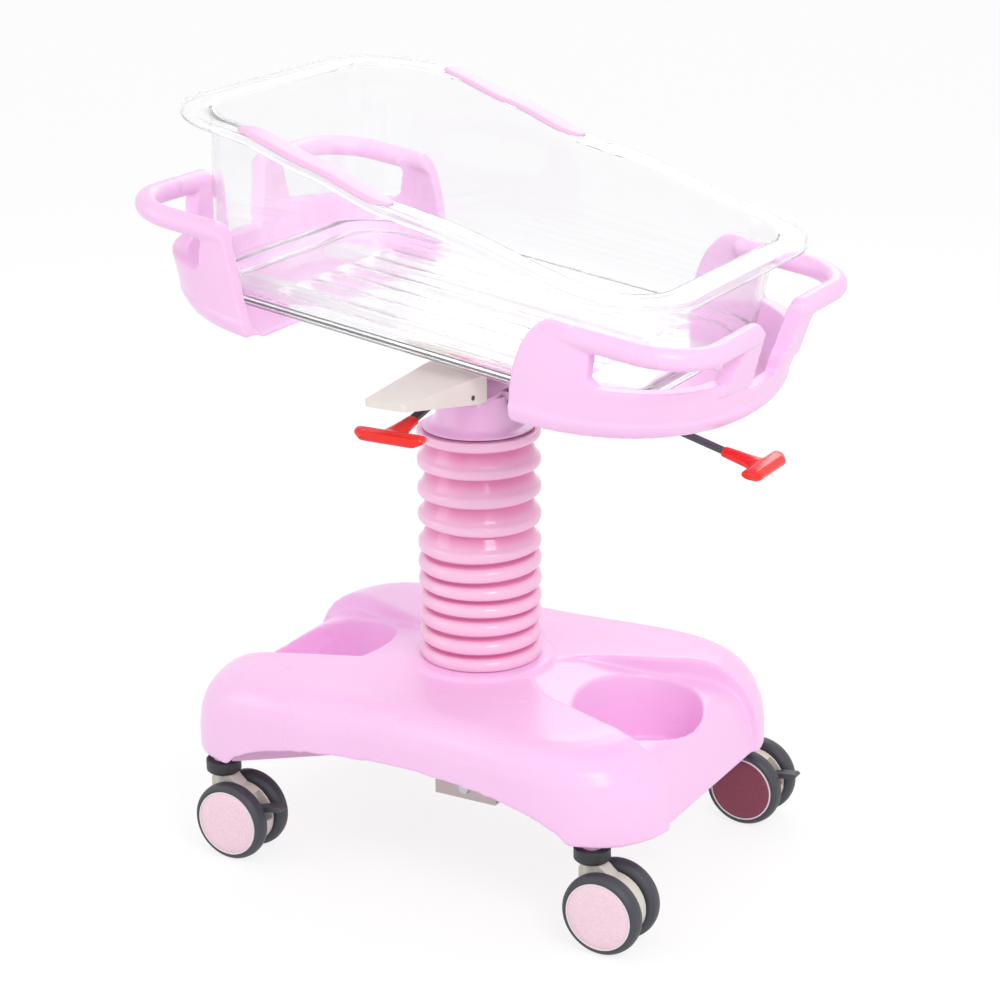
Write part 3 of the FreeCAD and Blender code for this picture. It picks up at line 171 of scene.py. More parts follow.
for name, place, aim, watts, width in (
        ("key_lamp", (2.3, -1.7, 2.6), (0.0, 0.0, 0.45), 38.0, 1.2),
        ("fill_lamp", (-2.4, -1.9, 1.5), (0.0, 0.0, 0.5), 12.0, 1.6),
        ("rim_lamp", (-0.6, 2.4, 2.2), (0.0, 0.0, 0.5), 14.0, 1.4)):
    lamp_data = bpy.data.lights.new(name, "AREA")
    lamp_data.energy = watts
    lamp_data.size = width
    lamp = add_object(name, lamp_data)
    toward = Vector(aim) - Vector(place)
    aimed = toward.to_track_quat("-Z", "Y").to_matrix().to_4x4()
    lamp.matrix_world = Matrix.Translation(place) @ aimed


# Base cover: one large pink moulding with four ridged legs and a storage well at each end.
# It is injection-moulded ABS, and hooks down over the steel cross underneath.

PINK_ABS = "#FED0F7"
PINK_ABS_DEEP = "#FCC8F2"
ABS_IOR = 1.54
SEAM_GAP = 0.00002


def moulded_abs(name, pale, deep, roughness, clouds_mm=90.0, grain_mm=3.0):
    """Moulded ABS: an even satin colour, faintly clouded, with the fine spark-eroded grain of the
    tool. The real grain is about 0.3 mm, and is drawn at 3 mm so that it shows at all."""
    material = new_material(name)
    tree = material.node_tree
    place = add_node(tree, "TexCoord")
    clouds = add_node(tree, "TexNoise", {"Scale": 1000.0 / clouds_mm, "Detail": 2.0},
                      {"Vector": place.outputs["Object"]})
    tint = add_node(tree, "Mix", {6: linear(deep), 7: linear(pale)}, {0: clouds.outputs["Fac"]},
                    data_type="RGBA")
    grain = add_node(tree, "TexNoise", {"Scale": 1000.0 / grain_mm, "Detail": 3.0},
                     {"Vector": place.outputs["Object"]})
    bump = add_node(tree, "Bump", {"Strength": 0.05, "Distance": 0.0004},
                    {"Height": grain.outputs["Fac"]})
    gloss = add_node(tree, "MapRange", {"To Min": roughness - 0.04, "To Max": roughness + 0.05},
                     {"Value": clouds.outputs["Fac"]})
    shader = add_node(tree, "BsdfPrincipled",
                      {"IOR": ABS_IOR, "Subsurface Weight": 0.08,
                       "Subsurface Radius": (0.006, 0.003, 0.004), "Subsurface Scale": 1.0},
                      {"Base Color": tint.outputs[2], "Roughness": gloss.outputs[0],
                       "Normal": bump.outputs[0]})
    add_node(tree, "OutputMaterial", links={"Surface": shader.outputs[0]})
    return material


def give(node, material):
    """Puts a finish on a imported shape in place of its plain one."""
    shape = frame["nodes"][node]
    shape.data.materials.clear()
    shape.data.materials.append(material)
    return shape


def soften(node, voxel_mm, rounds, material):
    """Rounds a moulding's edges as its tool does: an even skin over the solid, then smoothed."""
    shape = give(node, material)
    weld = shape.modifiers.new("weld", "WELD")
    weld.merge_threshold = SEAM_GAP
    skin = shape.modifiers.new("skin", "REMESH")
    skin.mode = "VOXEL"
    skin.voxel_size = voxel_mm / 1000.0
    skin.use_smooth_shade = True
    blur = shape.modifiers.new("blur", "SMOOTH")
    blur.factor = 0.5
    blur.iterations = rounds
    return shape


pink_abs = moulded_abs("moulded_pink_abs", PINK_ABS, PINK_ABS_DEEP, 0.28)
soften("base_cover", voxel_mm=2.2, rounds=14, material=pink_abs)


# Chassis under the cover: a welded square-tube steel cross, powder coated in the cover's pink.
# The folded bracket below the column and its zinc-plated bolt show under the cover's arch.

FLAT_DEG = 0.6


def break_edges(node, material, edge_mm=0.8, sharp_deg=32.0):
    """A copy of a packed steel part with its edges slightly rounded, as after deburring."""
    body = frame["nodes"][node].parent.name.split(":", 1)[1]
    work = bmesh.new()
    work.from_mesh(frame["nodes"][node].data)
    bmesh.ops.remove_doubles(work, verts=work.verts, dist=SEAM_GAP)
    bmesh.ops.dissolve_limit(work, angle_limit=math.radians(FLAT_DEG), verts=work.verts,
                             edges=work.edges)
    mesh = bpy.data.meshes.new(node + "_part")
    work.to_mesh(mesh)
    work.free()
    mesh.shade_smooth()
    mesh.set_sharp_from_angle(angle=math.radians(sharp_deg))
    mesh.materials.append(material)
    part = add_object(node + "_part", mesh)
    bevel = part.modifiers.new("edge", "BEVEL")
    bevel.width = edge_mm / 1000.0
    bevel.segments = 2
    bevel.limit_method = "ANGLE"
    bevel.angle_limit = math.radians(sharp_deg)
    normals = part.modifiers.new("even_shade", "WEIGHTED_NORMAL")
    normals.keep_sharp = True
    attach(part, body)
    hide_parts(node)
    return part


def powder_coat(name, colour, roughness, peel_mm=4.0):
    """Powder coat baked on steel: satin, with a slight orange peel, drawn at 4 mm to show."""
    material = new_material(name)
    tree = material.node_tree
    place = add_node(tree, "TexCoord")
    peel = add_node(tree, "TexNoise", {"Scale": 1000.0 / peel_mm, "Detail": 2.0},
                    {"Vector": place.outputs["Object"]})
    bump = add_node(tree, "Bump", {"Strength": 0.08, "Distance": 0.0005},
                    {"Height": peel.outputs["Fac"]})
    gloss = add_node(tree, "MapRange", {"To Min": roughness - 0.05, "To Max": roughness + 0.06},
                     {"Value": peel.outputs["Fac"]})
    shader = add_node(tree, "BsdfPrincipled", {"Base Color": linear(colour), "IOR": 1.5},
                      {"Roughness": gloss.outputs[0], "Normal": bump.outputs[0]})
    add_node(tree, "OutputMaterial", links={"Surface": shader.outputs[0]})
    return material


def bare_metal(name, colour, roughness, brush_mm=2.5):
    """Plated or blued steel: a metal shine, faintly uneven from the plating bath."""
    material = new_material(name)
    tree = material.node_tree
    place = add_node(tree, "TexCoord")
    haze = add_node(tree, "TexNoise", {"Scale": 1000.0 / brush_mm, "Detail": 3.0},
                    {"Vector": place.outputs["Object"]})
    gloss = add_node(tree, "MapRange", {"To Min": roughness - 0.06, "To Max": roughness + 0.08},
                     {"Value": haze.outputs["Fac"]})
    shader = add_node(tree, "BsdfPrincipled", {"Base Color": linear(colour), "Metallic": 1.0},
                      {"Roughness": gloss.outputs[0]})
    add_node(tree, "OutputMaterial", links={"Surface": shader.outputs[0]})
    return material


grey_coat = powder_coat("grey_powder_coat", "#8C8D90", 0.5)
cream_coat = powder_coat("cream_powder_coat", "#E9E2DA", 0.42)
white_coat = powder_coat("white_powder_coat", "#F6F4F4", 0.4)
pink_coat = powder_coat("pink_powder_coat", "#F6C6EC", 0.42)
zinc_plate = bare_metal("bright_zinc_plate", "#C9CBCE", 0.3)
break_edges("chassis_frame", pink_coat, edge_mm=1.2)
break_edges("mast_foot_bracket", cream_coat, edge_mm=1.2)
break_edges("foot_bolt", zinc_plate, edge_mm=0.5)


# Casters: twin polyurethane wheels on an ivory nylon hood, hung on a black stem cup.
# Each wheel is closed by a pressed-in plastic disc; two of the casters carry a brake pedal.

def moulded_nylon(name, colour, roughness):
    """Moulded nylon or acetal: a waxy matt surface with a fine grain, drawn at 2 mm to show."""
    grain_mm = 2.0
    material = new_material(name)
    tree = material.node_tree
    place = add_node(tree, "TexCoord")
    grain = add_node(tree, "TexNoise", {"Scale": 1000.0 / grain_mm, "Detail": 2.0},
                     {"Vector": place.outputs["Object"]})
    bump = add_node(tree, "Bump", {"Strength": 0.1, "Distance": 0.0003},
                    {"Height": grain.outputs["Fac"]})
    gloss = add_node(tree, "MapRange", {"To Min": roughness - 0.05, "To Max": roughness + 0.06},
                     {"Value": grain.outputs["Fac"]})
    shader = add_node(tree, "BsdfPrincipled", {"Base Color": linear(colour), "IOR": 1.53},
                      {"Roughness": gloss.outputs[0], "Normal": bump.outputs[0]})
    add_node(tree, "OutputMaterial", links={"Surface": shader.outputs[0]})
    return material


def speckled_disc(name, ground, fleck):
    """A disc moulded from flecked plastic: small pale and dark flecks under a satin skin, which
    give it a pressed-felt look. The flecks are about 1.5 mm, drawn at 2.5 mm to show."""
    fleck_mm = 2.5
    material = new_material(name)
    tree = material.node_tree
    place = add_node(tree, "TexCoord")
    flecks = add_node(tree, "TexNoise",
                      {"Scale": 1000.0 / fleck_mm, "Detail": 4.0, "Roughness": 0.7},
                      {"Vector": place.outputs["Object"]})
    spread = add_node(tree, "MapRange", {"From Min": 0.35, "From Max": 0.65},
                      {"Value": flecks.outputs["Fac"]})
    tint = add_node(tree, "Mix", {6: linear(ground), 7: linear(fleck)}, {0: spread.outputs[0]},
                    data_type="RGBA")
    bump = add_node(tree, "Bump", {"Strength": 0.12, "Distance": 0.0003},
                    {"Height": flecks.outputs["Fac"]})
    shader = add_node(tree, "BsdfPrincipled", {"Roughness": 0.42, "IOR": 1.5},
                      {"Base Color": tint.outputs[2], "Normal": bump.outputs[0]})
    add_node(tree, "OutputMaterial", links={"Surface": shader.outputs[0]})
    return material


black_nylon = moulded_nylon("black_nylon", "#2A2B2F", 0.45)
ivory_nylon = moulded_nylon("ivory_nylon", "#E4DED2", 0.42)
grey_nylon = moulded_nylon("grey_nylon", "#55545A", 0.5)
# White for the thin ring round each wheel disc: a painted highlight for the glint on the disc's
# bevelled edge.
white_nylon = moulded_nylon("white_nylon", "#EFE6E8", 0.35)
grey_urethane = moulded_nylon("grey_urethane", "#41424A", 0.5)
pink_disc = speckled_disc("flecked_pink_disc", "#F3CEDC", "#FADFE9")
# A dark maroon copy of the flecked pink disc: painted shade for the discs of the caster that stands
# in the base's shadow.
disc_painted_shade = speckled_disc("flecked_maroon_disc", "#7E3448", "#8E4156")

WHEEL_R = 0.050
WHEEL_INNER = 0.0125
WHEEL_OUTER = 0.0345
DISC_R = 0.0412
LATHE_STEPS = 96
LATHE_SHARP_DEG = 50.0
LATHE_WELD = 0.000001


def smooth_run(points, steps):
    """A Catmull-Rom curve through the points of a profile."""
    run = []
    count = len(points)
    for index in range(count - 1):
        before = points[max(index - 1, 0)]
        start = points[index]
        end = points[index + 1]
        after = points[min(index + 2, count - 1)]
        for step in range(steps):
            t = step / steps
            run.append(tuple(0.5 * (2 * b + (c - a) * t + (2 * a - 5 * b + 4 * c - d) * t * t
                                    + (3 * b - a - 3 * c + d) * t ** 3)
                             for a, b, c, d in zip(before, start, end, after)))
    run.append(points[-1])
    return run


def mesh_piece(name, points, faces, material, weld=None, sharp_deg=None):
    """A piece from its points and faces, turned outward and shaded smooth."""
    mesh = bpy.data.meshes.new(name)
    mesh.from_pydata(points, [], faces)
    work = bmesh.new()
    work.from_mesh(mesh)
    if weld:
        bmesh.ops.remove_doubles(work, verts=work.verts, dist=weld)
    bmesh.ops.recalc_face_normals(work, faces=work.faces)
    work.to_mesh(mesh)
    work.free()
    mesh.shade_smooth()
    if sharp_deg:
        mesh.set_sharp_from_angle(angle=math.radians(sharp_deg))
    mesh.materials.append(material)
    return add_object(name, mesh)


def lathe(name, profile, to_place, material, steps=LATHE_STEPS):
    """A turned solid from a closed (radius, height) profile about Z, moved to its place."""
    points = []
    faces = []
    count = len(profile)
    for step in range(steps):
        angle = 2.0 * math.pi * step / steps
        for radius, height in profile:
            x = radius * math.cos(angle)
            y = radius * math.sin(angle)
            points.append(to_place @ Vector((x, y, height)))
    for step in range(steps):
        here = step * count
        there = ((step + 1) % steps) * count
        for index in range(count):
            after = (index + 1) % count
            faces.append((here + index, there + index, there + after, here + after))
    return mesh_piece(name, points, faces, material, LATHE_WELD, LATHE_SHARP_DEG)


tyre_side = [(DISC_R + 0.0003, WHEEL_OUTER - 0.0045), (DISC_R + 0.0003, WHEEL_OUTER - 0.001),
             (DISC_R + 0.0018, WHEEL_OUTER), (DISC_R + 0.0045, WHEEL_OUTER - 0.0006)]
tyre_tread = smooth_run([(DISC_R + 0.0048, WHEEL_OUTER - 0.0012),
                         (WHEEL_R - 0.0012, WHEEL_OUTER - 0.0045),
                         (WHEEL_R, WHEEL_OUTER - 0.010), (WHEEL_R, WHEEL_INNER + 0.009),
                         (WHEEL_R - 0.0012, WHEEL_INNER + 0.0035),
                         (WHEEL_R - 0.006, WHEEL_INNER)], 5)
tyre_back = [(0.036, WHEEL_INNER + 0.0004), (0.034, WHEEL_INNER + 0.006),
             (0.014, WHEEL_INNER + 0.008), (0.013, WHEEL_INNER - 0.0015),
             (0.0045, WHEEL_INNER - 0.0015), (0.0045, WHEEL_OUTER - 0.0045)]
disc_face = [(0.0, WHEEL_OUTER - 0.0045), (DISC_R - 0.0012, WHEEL_OUTER - 0.0045),
             (DISC_R - 0.0012, WHEEL_OUTER - 0.0006), (DISC_R - 0.0022, WHEEL_OUTER + 0.0002),
             (DISC_R - 0.010, WHEEL_OUTER + 0.0007), (0.018, WHEEL_OUTER + 0.0011),
             (0.0, WHEEL_OUTER + 0.0013)]
# A thin white ring round the disc's edge: painted highlight standing in for the glint on its bevel.
edge_ring = [(DISC_R - 0.0014, WHEEL_OUTER - 0.0040), (DISC_R + 0.0004, WHEEL_OUTER - 0.0040),
             (DISC_R + 0.0005, WHEEL_OUTER + 0.0001), (DISC_R - 0.0002, WHEEL_OUTER + 0.0007),
             (DISC_R - 0.0014, WHEEL_OUTER + 0.0004)]

for corner in ("head_near", "head_far", "foot_near", "foot_far"):
    caster = "caster_" + corner
    soften(caster + "_hood", voxel_mm=0.8, rounds=5, material=ivory_nylon)
    break_edges(caster + "_axle", zinc_plate, edge_mm=0.4)
    # The foot-far caster's discs take the dark copy: painted shade, not a colour of their own.
    disc_plastic = disc_painted_shade if corner == "foot_far" else pink_disc
    for letter, side in (("a", -1), ("b", 1)):
        wheel_body = caster + "_wheel_" + letter + "_set"
        low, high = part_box(caster + "_wheel_" + letter)
        hood_low, hood_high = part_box(caster + "_hood")
        axle = Vector(((low.x + high.x) / 2, (hood_low.y + hood_high.y) / 2, WHEEL_R))
        to_place = Matrix.Translation(axle) @ Matrix.Rotation(math.radians(-90 * side), 4, "X")
        tyre = lathe(caster + "_tyre_" + letter, tyre_side + tyre_tread + tyre_back, to_place,
                     grey_urethane)
        disc = lathe(caster + "_disc_" + letter, disc_face, to_place, disc_plastic)
        # The white ring is a painted highlight for the disc's edge glint.
        ring = lathe(caster + "_edge_" + letter, edge_ring, to_place, white_nylon)
        for piece in (tyre, disc, ring):
            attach(piece, wheel_body)
        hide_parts(caster + "_wheel_" + letter)
        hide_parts(caster + "_cap_" + letter)

soften("caster_head_near_pedal", voxel_mm=0.6, rounds=4, material=grey_nylon)
soften("caster_foot_far_pedal", voxel_mm=0.6, rounds=4, material=grey_nylon)
soften("caster_collars", voxel_mm=0.9, rounds=4, material=black_nylon)
break_edges("caster_kingpins", zinc_plate, edge_mm=0.3)


# Bellows: a blow-moulded soft PVC sleeve that covers the lifting mast.
# Each convolution is a sloping shelf that ends in a thick round lip, and the rings sit a
# little unevenly.

BELLOWS_LIP_R = 0.0765
BELLOWS_GROOVE_R = 0.0645
BELLOWS_BORE_R = 0.0600
LOW_PITCH = 0.0235
HIGH_PITCH = 0.0355
LOW_RINGS = 6
HIGH_RINGS = 4
LIP_H = 0.0145
FIRST_LIP = 0.252
SLEEVE_STEPS = 160
SAG_H = 0.0014
SAG_TURN = 70.0
SAG_TURN_TWICE = 45.0
SAG_FADE = 40.0

foot_corner, head_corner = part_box("bellows")
lips = [FIRST_LIP]
for pitch in [LOW_PITCH] * LOW_RINGS + [HIGH_PITCH] * HIGH_RINGS:
    lips.append(lips[-1] + pitch)


def bellows_profile():
    """The outer line from foot to head: groove, round lip, then the shelf that slopes in again."""
    line = [(BELLOWS_LIP_R - 0.004, foot_corner.z)]
    for index, lip in enumerate(lips):
        above = lips[index + 1] if index + 1 < len(lips) else head_corner.z + 0.006
        top = min(above - LIP_H * 0.62, head_corner.z)
        if index > 0:
            line.append((BELLOWS_GROOVE_R + 0.001, lip - LIP_H * 0.60))
            line.append((BELLOWS_LIP_R - 0.0056, lip - LIP_H * 0.53))
        line.append((BELLOWS_LIP_R - 0.0012, lip - LIP_H * 0.34))
        line.append((BELLOWS_LIP_R, lip))
        line.append((BELLOWS_LIP_R - 0.0013, lip + LIP_H * 0.34))
        line.append((BELLOWS_LIP_R - 0.0052, min(lip + LIP_H * 0.62, head_corner.z - 0.002)))
        if top > lip + LIP_H * 0.7:
            line.append((BELLOWS_GROOVE_R + 0.0022, lip + (top - lip) * 0.72))
            line.append((BELLOWS_GROOVE_R, top - 0.0022))
            line.append((BELLOWS_GROOVE_R, top))
    return line


def soft_pvc(name, pale, deep, lip_r, groove_r):
    """Soft PVC, blow moulded: glossy and a little see-through. Its colour runs from the pale lip
    pink to a deeper one at the groove radius, as painted shade in the grooves. The flow marks are
    about 12 mm long."""
    marks_mm = 12.0
    material = new_material(name)
    tree = material.node_tree
    place = add_node(tree, "TexCoord")
    marks = add_node(tree, "TexNoise", {"Scale": 1000.0 / marks_mm, "Detail": 2.0},
                     {"Vector": place.outputs["Object"]})
    flat = add_node(tree, "VectorMath", {1: (1.0, 1.0, 0.0)}, {0: place.outputs["Object"]},
                    operation="MULTIPLY")
    reach = add_node(tree, "VectorMath", links={0: flat.outputs[0]}, operation="LENGTH")
    # Painted shade: the colour deepens from the lips towards the groove radius, where the grooves
    # lie in shade.
    outward = add_node(tree, "MapRange", {"From Min": groove_r, "From Max": lip_r - 0.002},
                       {"Value": reach.outputs["Value"]}, interpolation_type="SMOOTHSTEP")
    tint = add_node(tree, "Mix", {6: linear(deep), 7: linear(pale)}, {0: outward.outputs[0]},
                    data_type="RGBA")
    bump = add_node(tree, "Bump", {"Strength": 0.06, "Distance": 0.001},
                    {"Height": marks.outputs["Fac"]})
    gloss = add_node(tree, "MapRange", {"To Min": 0.13, "To Max": 0.20},
                     {"Value": marks.outputs["Fac"]})
    shader = add_node(tree, "BsdfPrincipled",
                      {"IOR": 1.53, "Subsurface Weight": 0.15,
                       "Subsurface Radius": (0.008, 0.003, 0.005), "Subsurface Scale": 1.0},
                      {"Base Color": tint.outputs[2], "Roughness": gloss.outputs[0],
                       "Normal": bump.outputs[0]})
    add_node(tree, "OutputMaterial", links={"Surface": shader.outputs[0]})
    return material


# The deep colour is painted shade for the grooves; the pale one is the lips' own pink.
pink_pvc = soft_pvc("soft_pink_pvc", "#FCCBE7", "#EE93C2", BELLOWS_LIP_R, BELLOWS_GROOVE_R)
outer_line = smooth_run(bellows_profile(), 4)
inner_line = [(BELLOWS_BORE_R, head_corner.z), (BELLOWS_BORE_R, foot_corner.z)]
bellows = lathe("bellows_sleeve", outer_line + inner_line, Matrix.Identity(4), pink_pvc,
                SLEEVE_STEPS)
for vertex in bellows.data.vertices:
    angle = math.atan2(vertex.co.y, vertex.co.x)
    from_ends = (vertex.co.z - foot_corner.z) * (head_corner.z - vertex.co.z) * SAG_FADE
    once = math.sin(angle + vertex.co.z * SAG_TURN)
    twice = math.sin(2.0 * angle - vertex.co.z * SAG_TURN_TWICE)
    vertex.co.z += SAG_H * min(1.0, max(0.0, from_ends)) * (once + 0.5 * twice)
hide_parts("bellows")
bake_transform(bellows)


# Mast inside the bellows: two telescoping steel tubes, a plastic bush and a gas spring.
# The outer tube is welded into the chassis, and the inner one carries the head.

black_coat = powder_coat("black_powder_coat", "#1E1F22", 0.35)
chrome_plate = bare_metal("hard_chrome_plate", "#D8DADD", 0.14)
break_edges("mast_outer_tube", grey_coat, edge_mm=0.4)
break_edges("mast_inner_tube", chrome_plate, edge_mm=0.4)
break_edges("mast_bush", black_nylon, edge_mm=0.4)
break_edges("bellows_clamp", black_nylon, edge_mm=0.4)
break_edges("lift_spring_cylinder", black_coat, edge_mm=0.4)
break_edges("lift_spring_rod", chrome_plate, edge_mm=0.3)


# Mast head: a trumpet-shaped pink ABS cover over a bent steel bracket that carries the tilt axle.
# The cream side channel is a folded, powder-coated sheet with black end pads and a drilled flank.

blued_steel = bare_metal("blued_spring_steel", "#5A5B60", 0.34)
CONE_OUTSIDE = [(0.0690, 0.5426), (0.0688, 0.5440), (0.0655, 0.5452), (0.0590, 0.5475),
                (0.0545, 0.5530), (0.0512, 0.5640), (0.0484, 0.5770), (0.0468, 0.5866)]
CONE_WALL = 0.003
SPRING_EYE_X = 0.0405
SPRING_EYE_HALF_W = 0.0095
SPRING_EYE_FOOT = 0.5680

cone_inside = [(radius - CONE_WALL, height) for radius, height in reversed(CONE_OUTSIDE)]
cone = lathe("mast_cone_cover", smooth_run(CONE_OUTSIDE, 5) + cone_inside, Matrix.Identity(4),
             pink_abs)
for vertex in cone.data.vertices:
    if vertex.co.z > SPRING_EYE_FOOT and abs(vertex.co.y) < SPRING_EYE_HALF_W:
        vertex.co.x = min(vertex.co.x, SPRING_EYE_X)
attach(cone, "mast_head")
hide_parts("mast_cone")
break_edges("pivot_bracket", pink_coat, edge_mm=0.6)
break_edges("tilt_axle", zinc_plate, edge_mm=0.5)
break_edges("mast_head_pins", blued_steel, edge_mm=0.3)
break_edges("side_channel", cream_coat, edge_mm=0.9)
break_edges("side_channel_plugs", black_nylon, edge_mm=0.5)


# Release levers: flat spring-steel bars, blued dark, each with a glossy red T grip.
# The grip is ABS moulded over the bar's end, with round edges for the palm.

def gloss_moulding(name, colour):
    """Polished moulded ABS: a saturated colour under a clear wet gloss, with slight flow waves."""
    waves_mm = 14.0
    material = new_material(name)
    tree = material.node_tree
    place = add_node(tree, "TexCoord")
    waves = add_node(tree, "TexNoise", {"Scale": 1000.0 / waves_mm, "Detail": 1.0},
                     {"Vector": place.outputs["Object"]})
    bump = add_node(tree, "Bump", {"Strength": 0.1, "Distance": 0.001},
                    {"Height": waves.outputs["Fac"]})
    gloss = add_node(tree, "MapRange", {"To Min": 0.16, "To Max": 0.24},
                     {"Value": waves.outputs["Fac"]})
    shader = add_node(tree, "BsdfPrincipled", {"Base Color": linear(colour), "IOR": ABS_IOR},
                      {"Roughness": gloss.outputs[0], "Normal": bump.outputs[0]})
    add_node(tree, "OutputMaterial", links={"Surface": shader.outputs[0]})
    return material


red_abs = gloss_moulding("polished_red_abs", "#F11B0E")
for lever in ("side_lever", "foot_lever"):
    break_edges(lever + "_rod", blued_steel, edge_mm=0.5)
    soften(lever + "_grip", voxel_mm=0.9, rounds=46, material=red_abs)


# Cradle: two square steel rails on a plate under the tub, with the foot channel welded below.
# The tilt gas spring runs from the foot channel back to the mast head.

break_edges("cradle_frame", white_coat, edge_mm=0.8)
break_edges("foot_channel", cream_coat, edge_mm=0.8)
break_edges("cradle_pins", zinc_plate, edge_mm=0.3)
break_edges("tilt_gas_rod", chrome_plate, edge_mm=0.3)
break_edges("tilt_gas_cylinder", black_coat, edge_mm=0.5)


# End shells: a pink ABS moulding at each end, a deep U-shaped wall with wings, posts and bars.
# They are screwed up to the rails from below with pan-head screws.

for end in ("head", "foot"):
    soften(end + "_end_shell", voxel_mm=1.7, rounds=10, material=pink_abs)
break_edges("shell_screws", zinc_plate, edge_mm=0.3)


# Tub: one clear vacuum-formed polycarbonate tray that stands on the rails between the shells.
# Its floor is fluted lengthways, its walls flare, and its rim turns out and down all round.

TUB_TILT = math.radians(8.0)
PIVOT_Z = 0.621
TUB_FOOT = 0.062
TUB_HALF_L = 0.306
TUB_HALF_W = 0.212
TUB_TUCK_L = 0.020
TUB_TUCK_W = 0.018
TUB_FLARE_L = 0.013
TUB_FLARE_W = 0.011
TUB_CORNER = 0.078
TUB_WALL = 0.0030
FLOOR_TOP = TUB_FOOT + 0.0075
FLOOR_SHEET = 0.0030
RIM_OUT = 0.036
RIM_LIP = 0.010
RIM_T = 0.0030
LEDGE_Z = TUB_FOOT + 0.015
RIM_HEAD = 0.283
RIM_PLAN_Z = RIM_HEAD - 0.030
RIM_LINE = [(-0.420, RIM_HEAD), (-0.240, RIM_HEAD), (-0.205, 0.281), (-0.110, 0.2625),
            (-0.015, 0.241), (0.040, 0.237), (0.250, 0.204), (0.420, 0.201)]
RING_POINTS = 288
FLOOR_RINGS = 46
WALL_STEPS = 10
FLUTE_PITCH = 0.044
FLUTE_DEPTH = 0.0042
FLUTE_HALF_L = 0.205
FLUTE_SIDE = 0.154
FLUTE_END = 0.016
FLUTE_EDGE = 0.006
FLOOR_EDGE_IN = 0.014

# The foot's outside, with its bead: heights above the foot and distances out from the wall.
FOOT_LINE = [(0.0005, -0.008), (0.0, -0.004), (0.0012, -0.0012), (0.005, 0.0), (0.0065, 0.0034),
             (0.0095, 0.0038), (0.0125, 0.0034), (0.0140, 0.0004)]

# The rolled rim's section, round from the wall's outside to its inside: drops below the rim's
# line and distances out from the wall.
RIM_SECTION = [(RIM_T + 0.001, 0.0012), (RIM_T, 0.004), (RIM_T, RIM_OUT - RIM_T - 0.003),
               (RIM_T + 0.001, RIM_OUT - RIM_T - 0.0008), (RIM_T + 0.003, RIM_OUT - RIM_T),
               (RIM_LIP, RIM_OUT - RIM_T), (RIM_LIP + 0.001, RIM_OUT - RIM_T / 2),
               (RIM_LIP, RIM_OUT), (0.005, RIM_OUT), (0.0016, RIM_OUT - 0.0014),
               (0.0, RIM_OUT - 0.005), (0.0, 0.003), (0.001, -0.0012), (0.004, -TUB_WALL)]

# The inside corner between wall and floor: heights above the floor and distances in.
FLOOR_COVE = [(0.010, 0.002), (0.004, 0.006), (0.001, 0.012), (0.0, 0.019)]


def rim_height(x):
    """The rim's height at a length along the tub, by smooth steps between the marks."""
    for (x0, z0), (x1, z1) in zip(RIM_LINE, RIM_LINE[1:]):
        if x <= x1:
            t = max(0.0, (x - x0) / (x1 - x0))
            return z0 + (z1 - z0) * (0.5 * t + 0.5 * t * t * (3.0 - 2.0 * t))
    return RIM_LINE[-1][1]


def corner_ring(half_l, half_w, corner):
    """Points evenly round a rectangle with round corners, from the middle of the foot end."""
    straight_l = half_l - corner
    straight_w = half_w - corner
    arc = corner * math.pi / 2.0
    legs = [straight_w, arc, 2 * straight_l, arc, 2 * straight_w, arc, 2 * straight_l, arc,
            straight_w]
    centres = [(straight_l, straight_w), (-straight_l, straight_w), (-straight_l, -straight_w),
               (straight_l, -straight_w)]
    total = sum(legs)
    ring = []
    for step in range(RING_POINTS):
        run = total * step / RING_POINTS
        leg = 0
        while run > legs[leg]:
            run -= legs[leg]
            leg += 1
        if leg % 2 == 1:
            cx, cy = centres[leg // 2]
            angle = (leg // 2) * math.pi / 2 + run / corner
            ring.append((cx + corner * math.cos(angle), cy + corner * math.sin(angle)))
        elif leg == 0:
            ring.append((half_l, run))
        elif leg == 2:
            ring.append((straight_l - run, half_w))
        elif leg == 4:
            ring.append((-half_l, straight_w - run))
        elif leg == 6:
            ring.append((-straight_l + run, -half_w))
        else:
            ring.append((half_l, -straight_w + run))
    return ring


def wall_ring(height, grow):
    """The tub's plan at a height: the foot tucks in below the ledge, and the wall flares above."""
    if height < LEDGE_Z:
        share = max(0.0, (height - TUB_FOOT) / (LEDGE_Z - TUB_FOOT))
        half_l = TUB_HALF_L - TUB_TUCK_L + (TUB_TUCK_L - TUB_FLARE_L) * share
        half_w = TUB_HALF_W - TUB_TUCK_W + (TUB_TUCK_W - TUB_FLARE_W) * share
    else:
        share = (height - LEDGE_Z) / (RIM_HEAD - LEDGE_Z)
        half_l = TUB_HALF_L - TUB_FLARE_L * (1.0 - share)
        half_w = TUB_HALF_W - TUB_FLARE_W * (1.0 - share)
    return corner_ring(half_l + grow, half_w + grow, TUB_CORNER + grow)


def level_ring(height, grow):
    return [(x, y, height) for x, y in wall_ring(height, grow)]


def rim_ring(drop, grow):
    """A ring that follows the rim's slanted line, a drop below it and a distance out."""
    ring = []
    for x, y in wall_ring(RIM_PLAN_Z, grow):
        height = rim_height(x) - drop
        flare = TUB_FLARE_W * (height - RIM_PLAN_Z) / (RIM_HEAD - LEDGE_Z)
        size = math.hypot(x, y)
        ring.append((x * (1.0 + flare / size), y * (1.0 + flare / size), height))
    return ring


def between(ring_a, ring_b, share):
    return [tuple(a + (b - a) * share for a, b in zip(p, q)) for p, q in zip(ring_a, ring_b)]


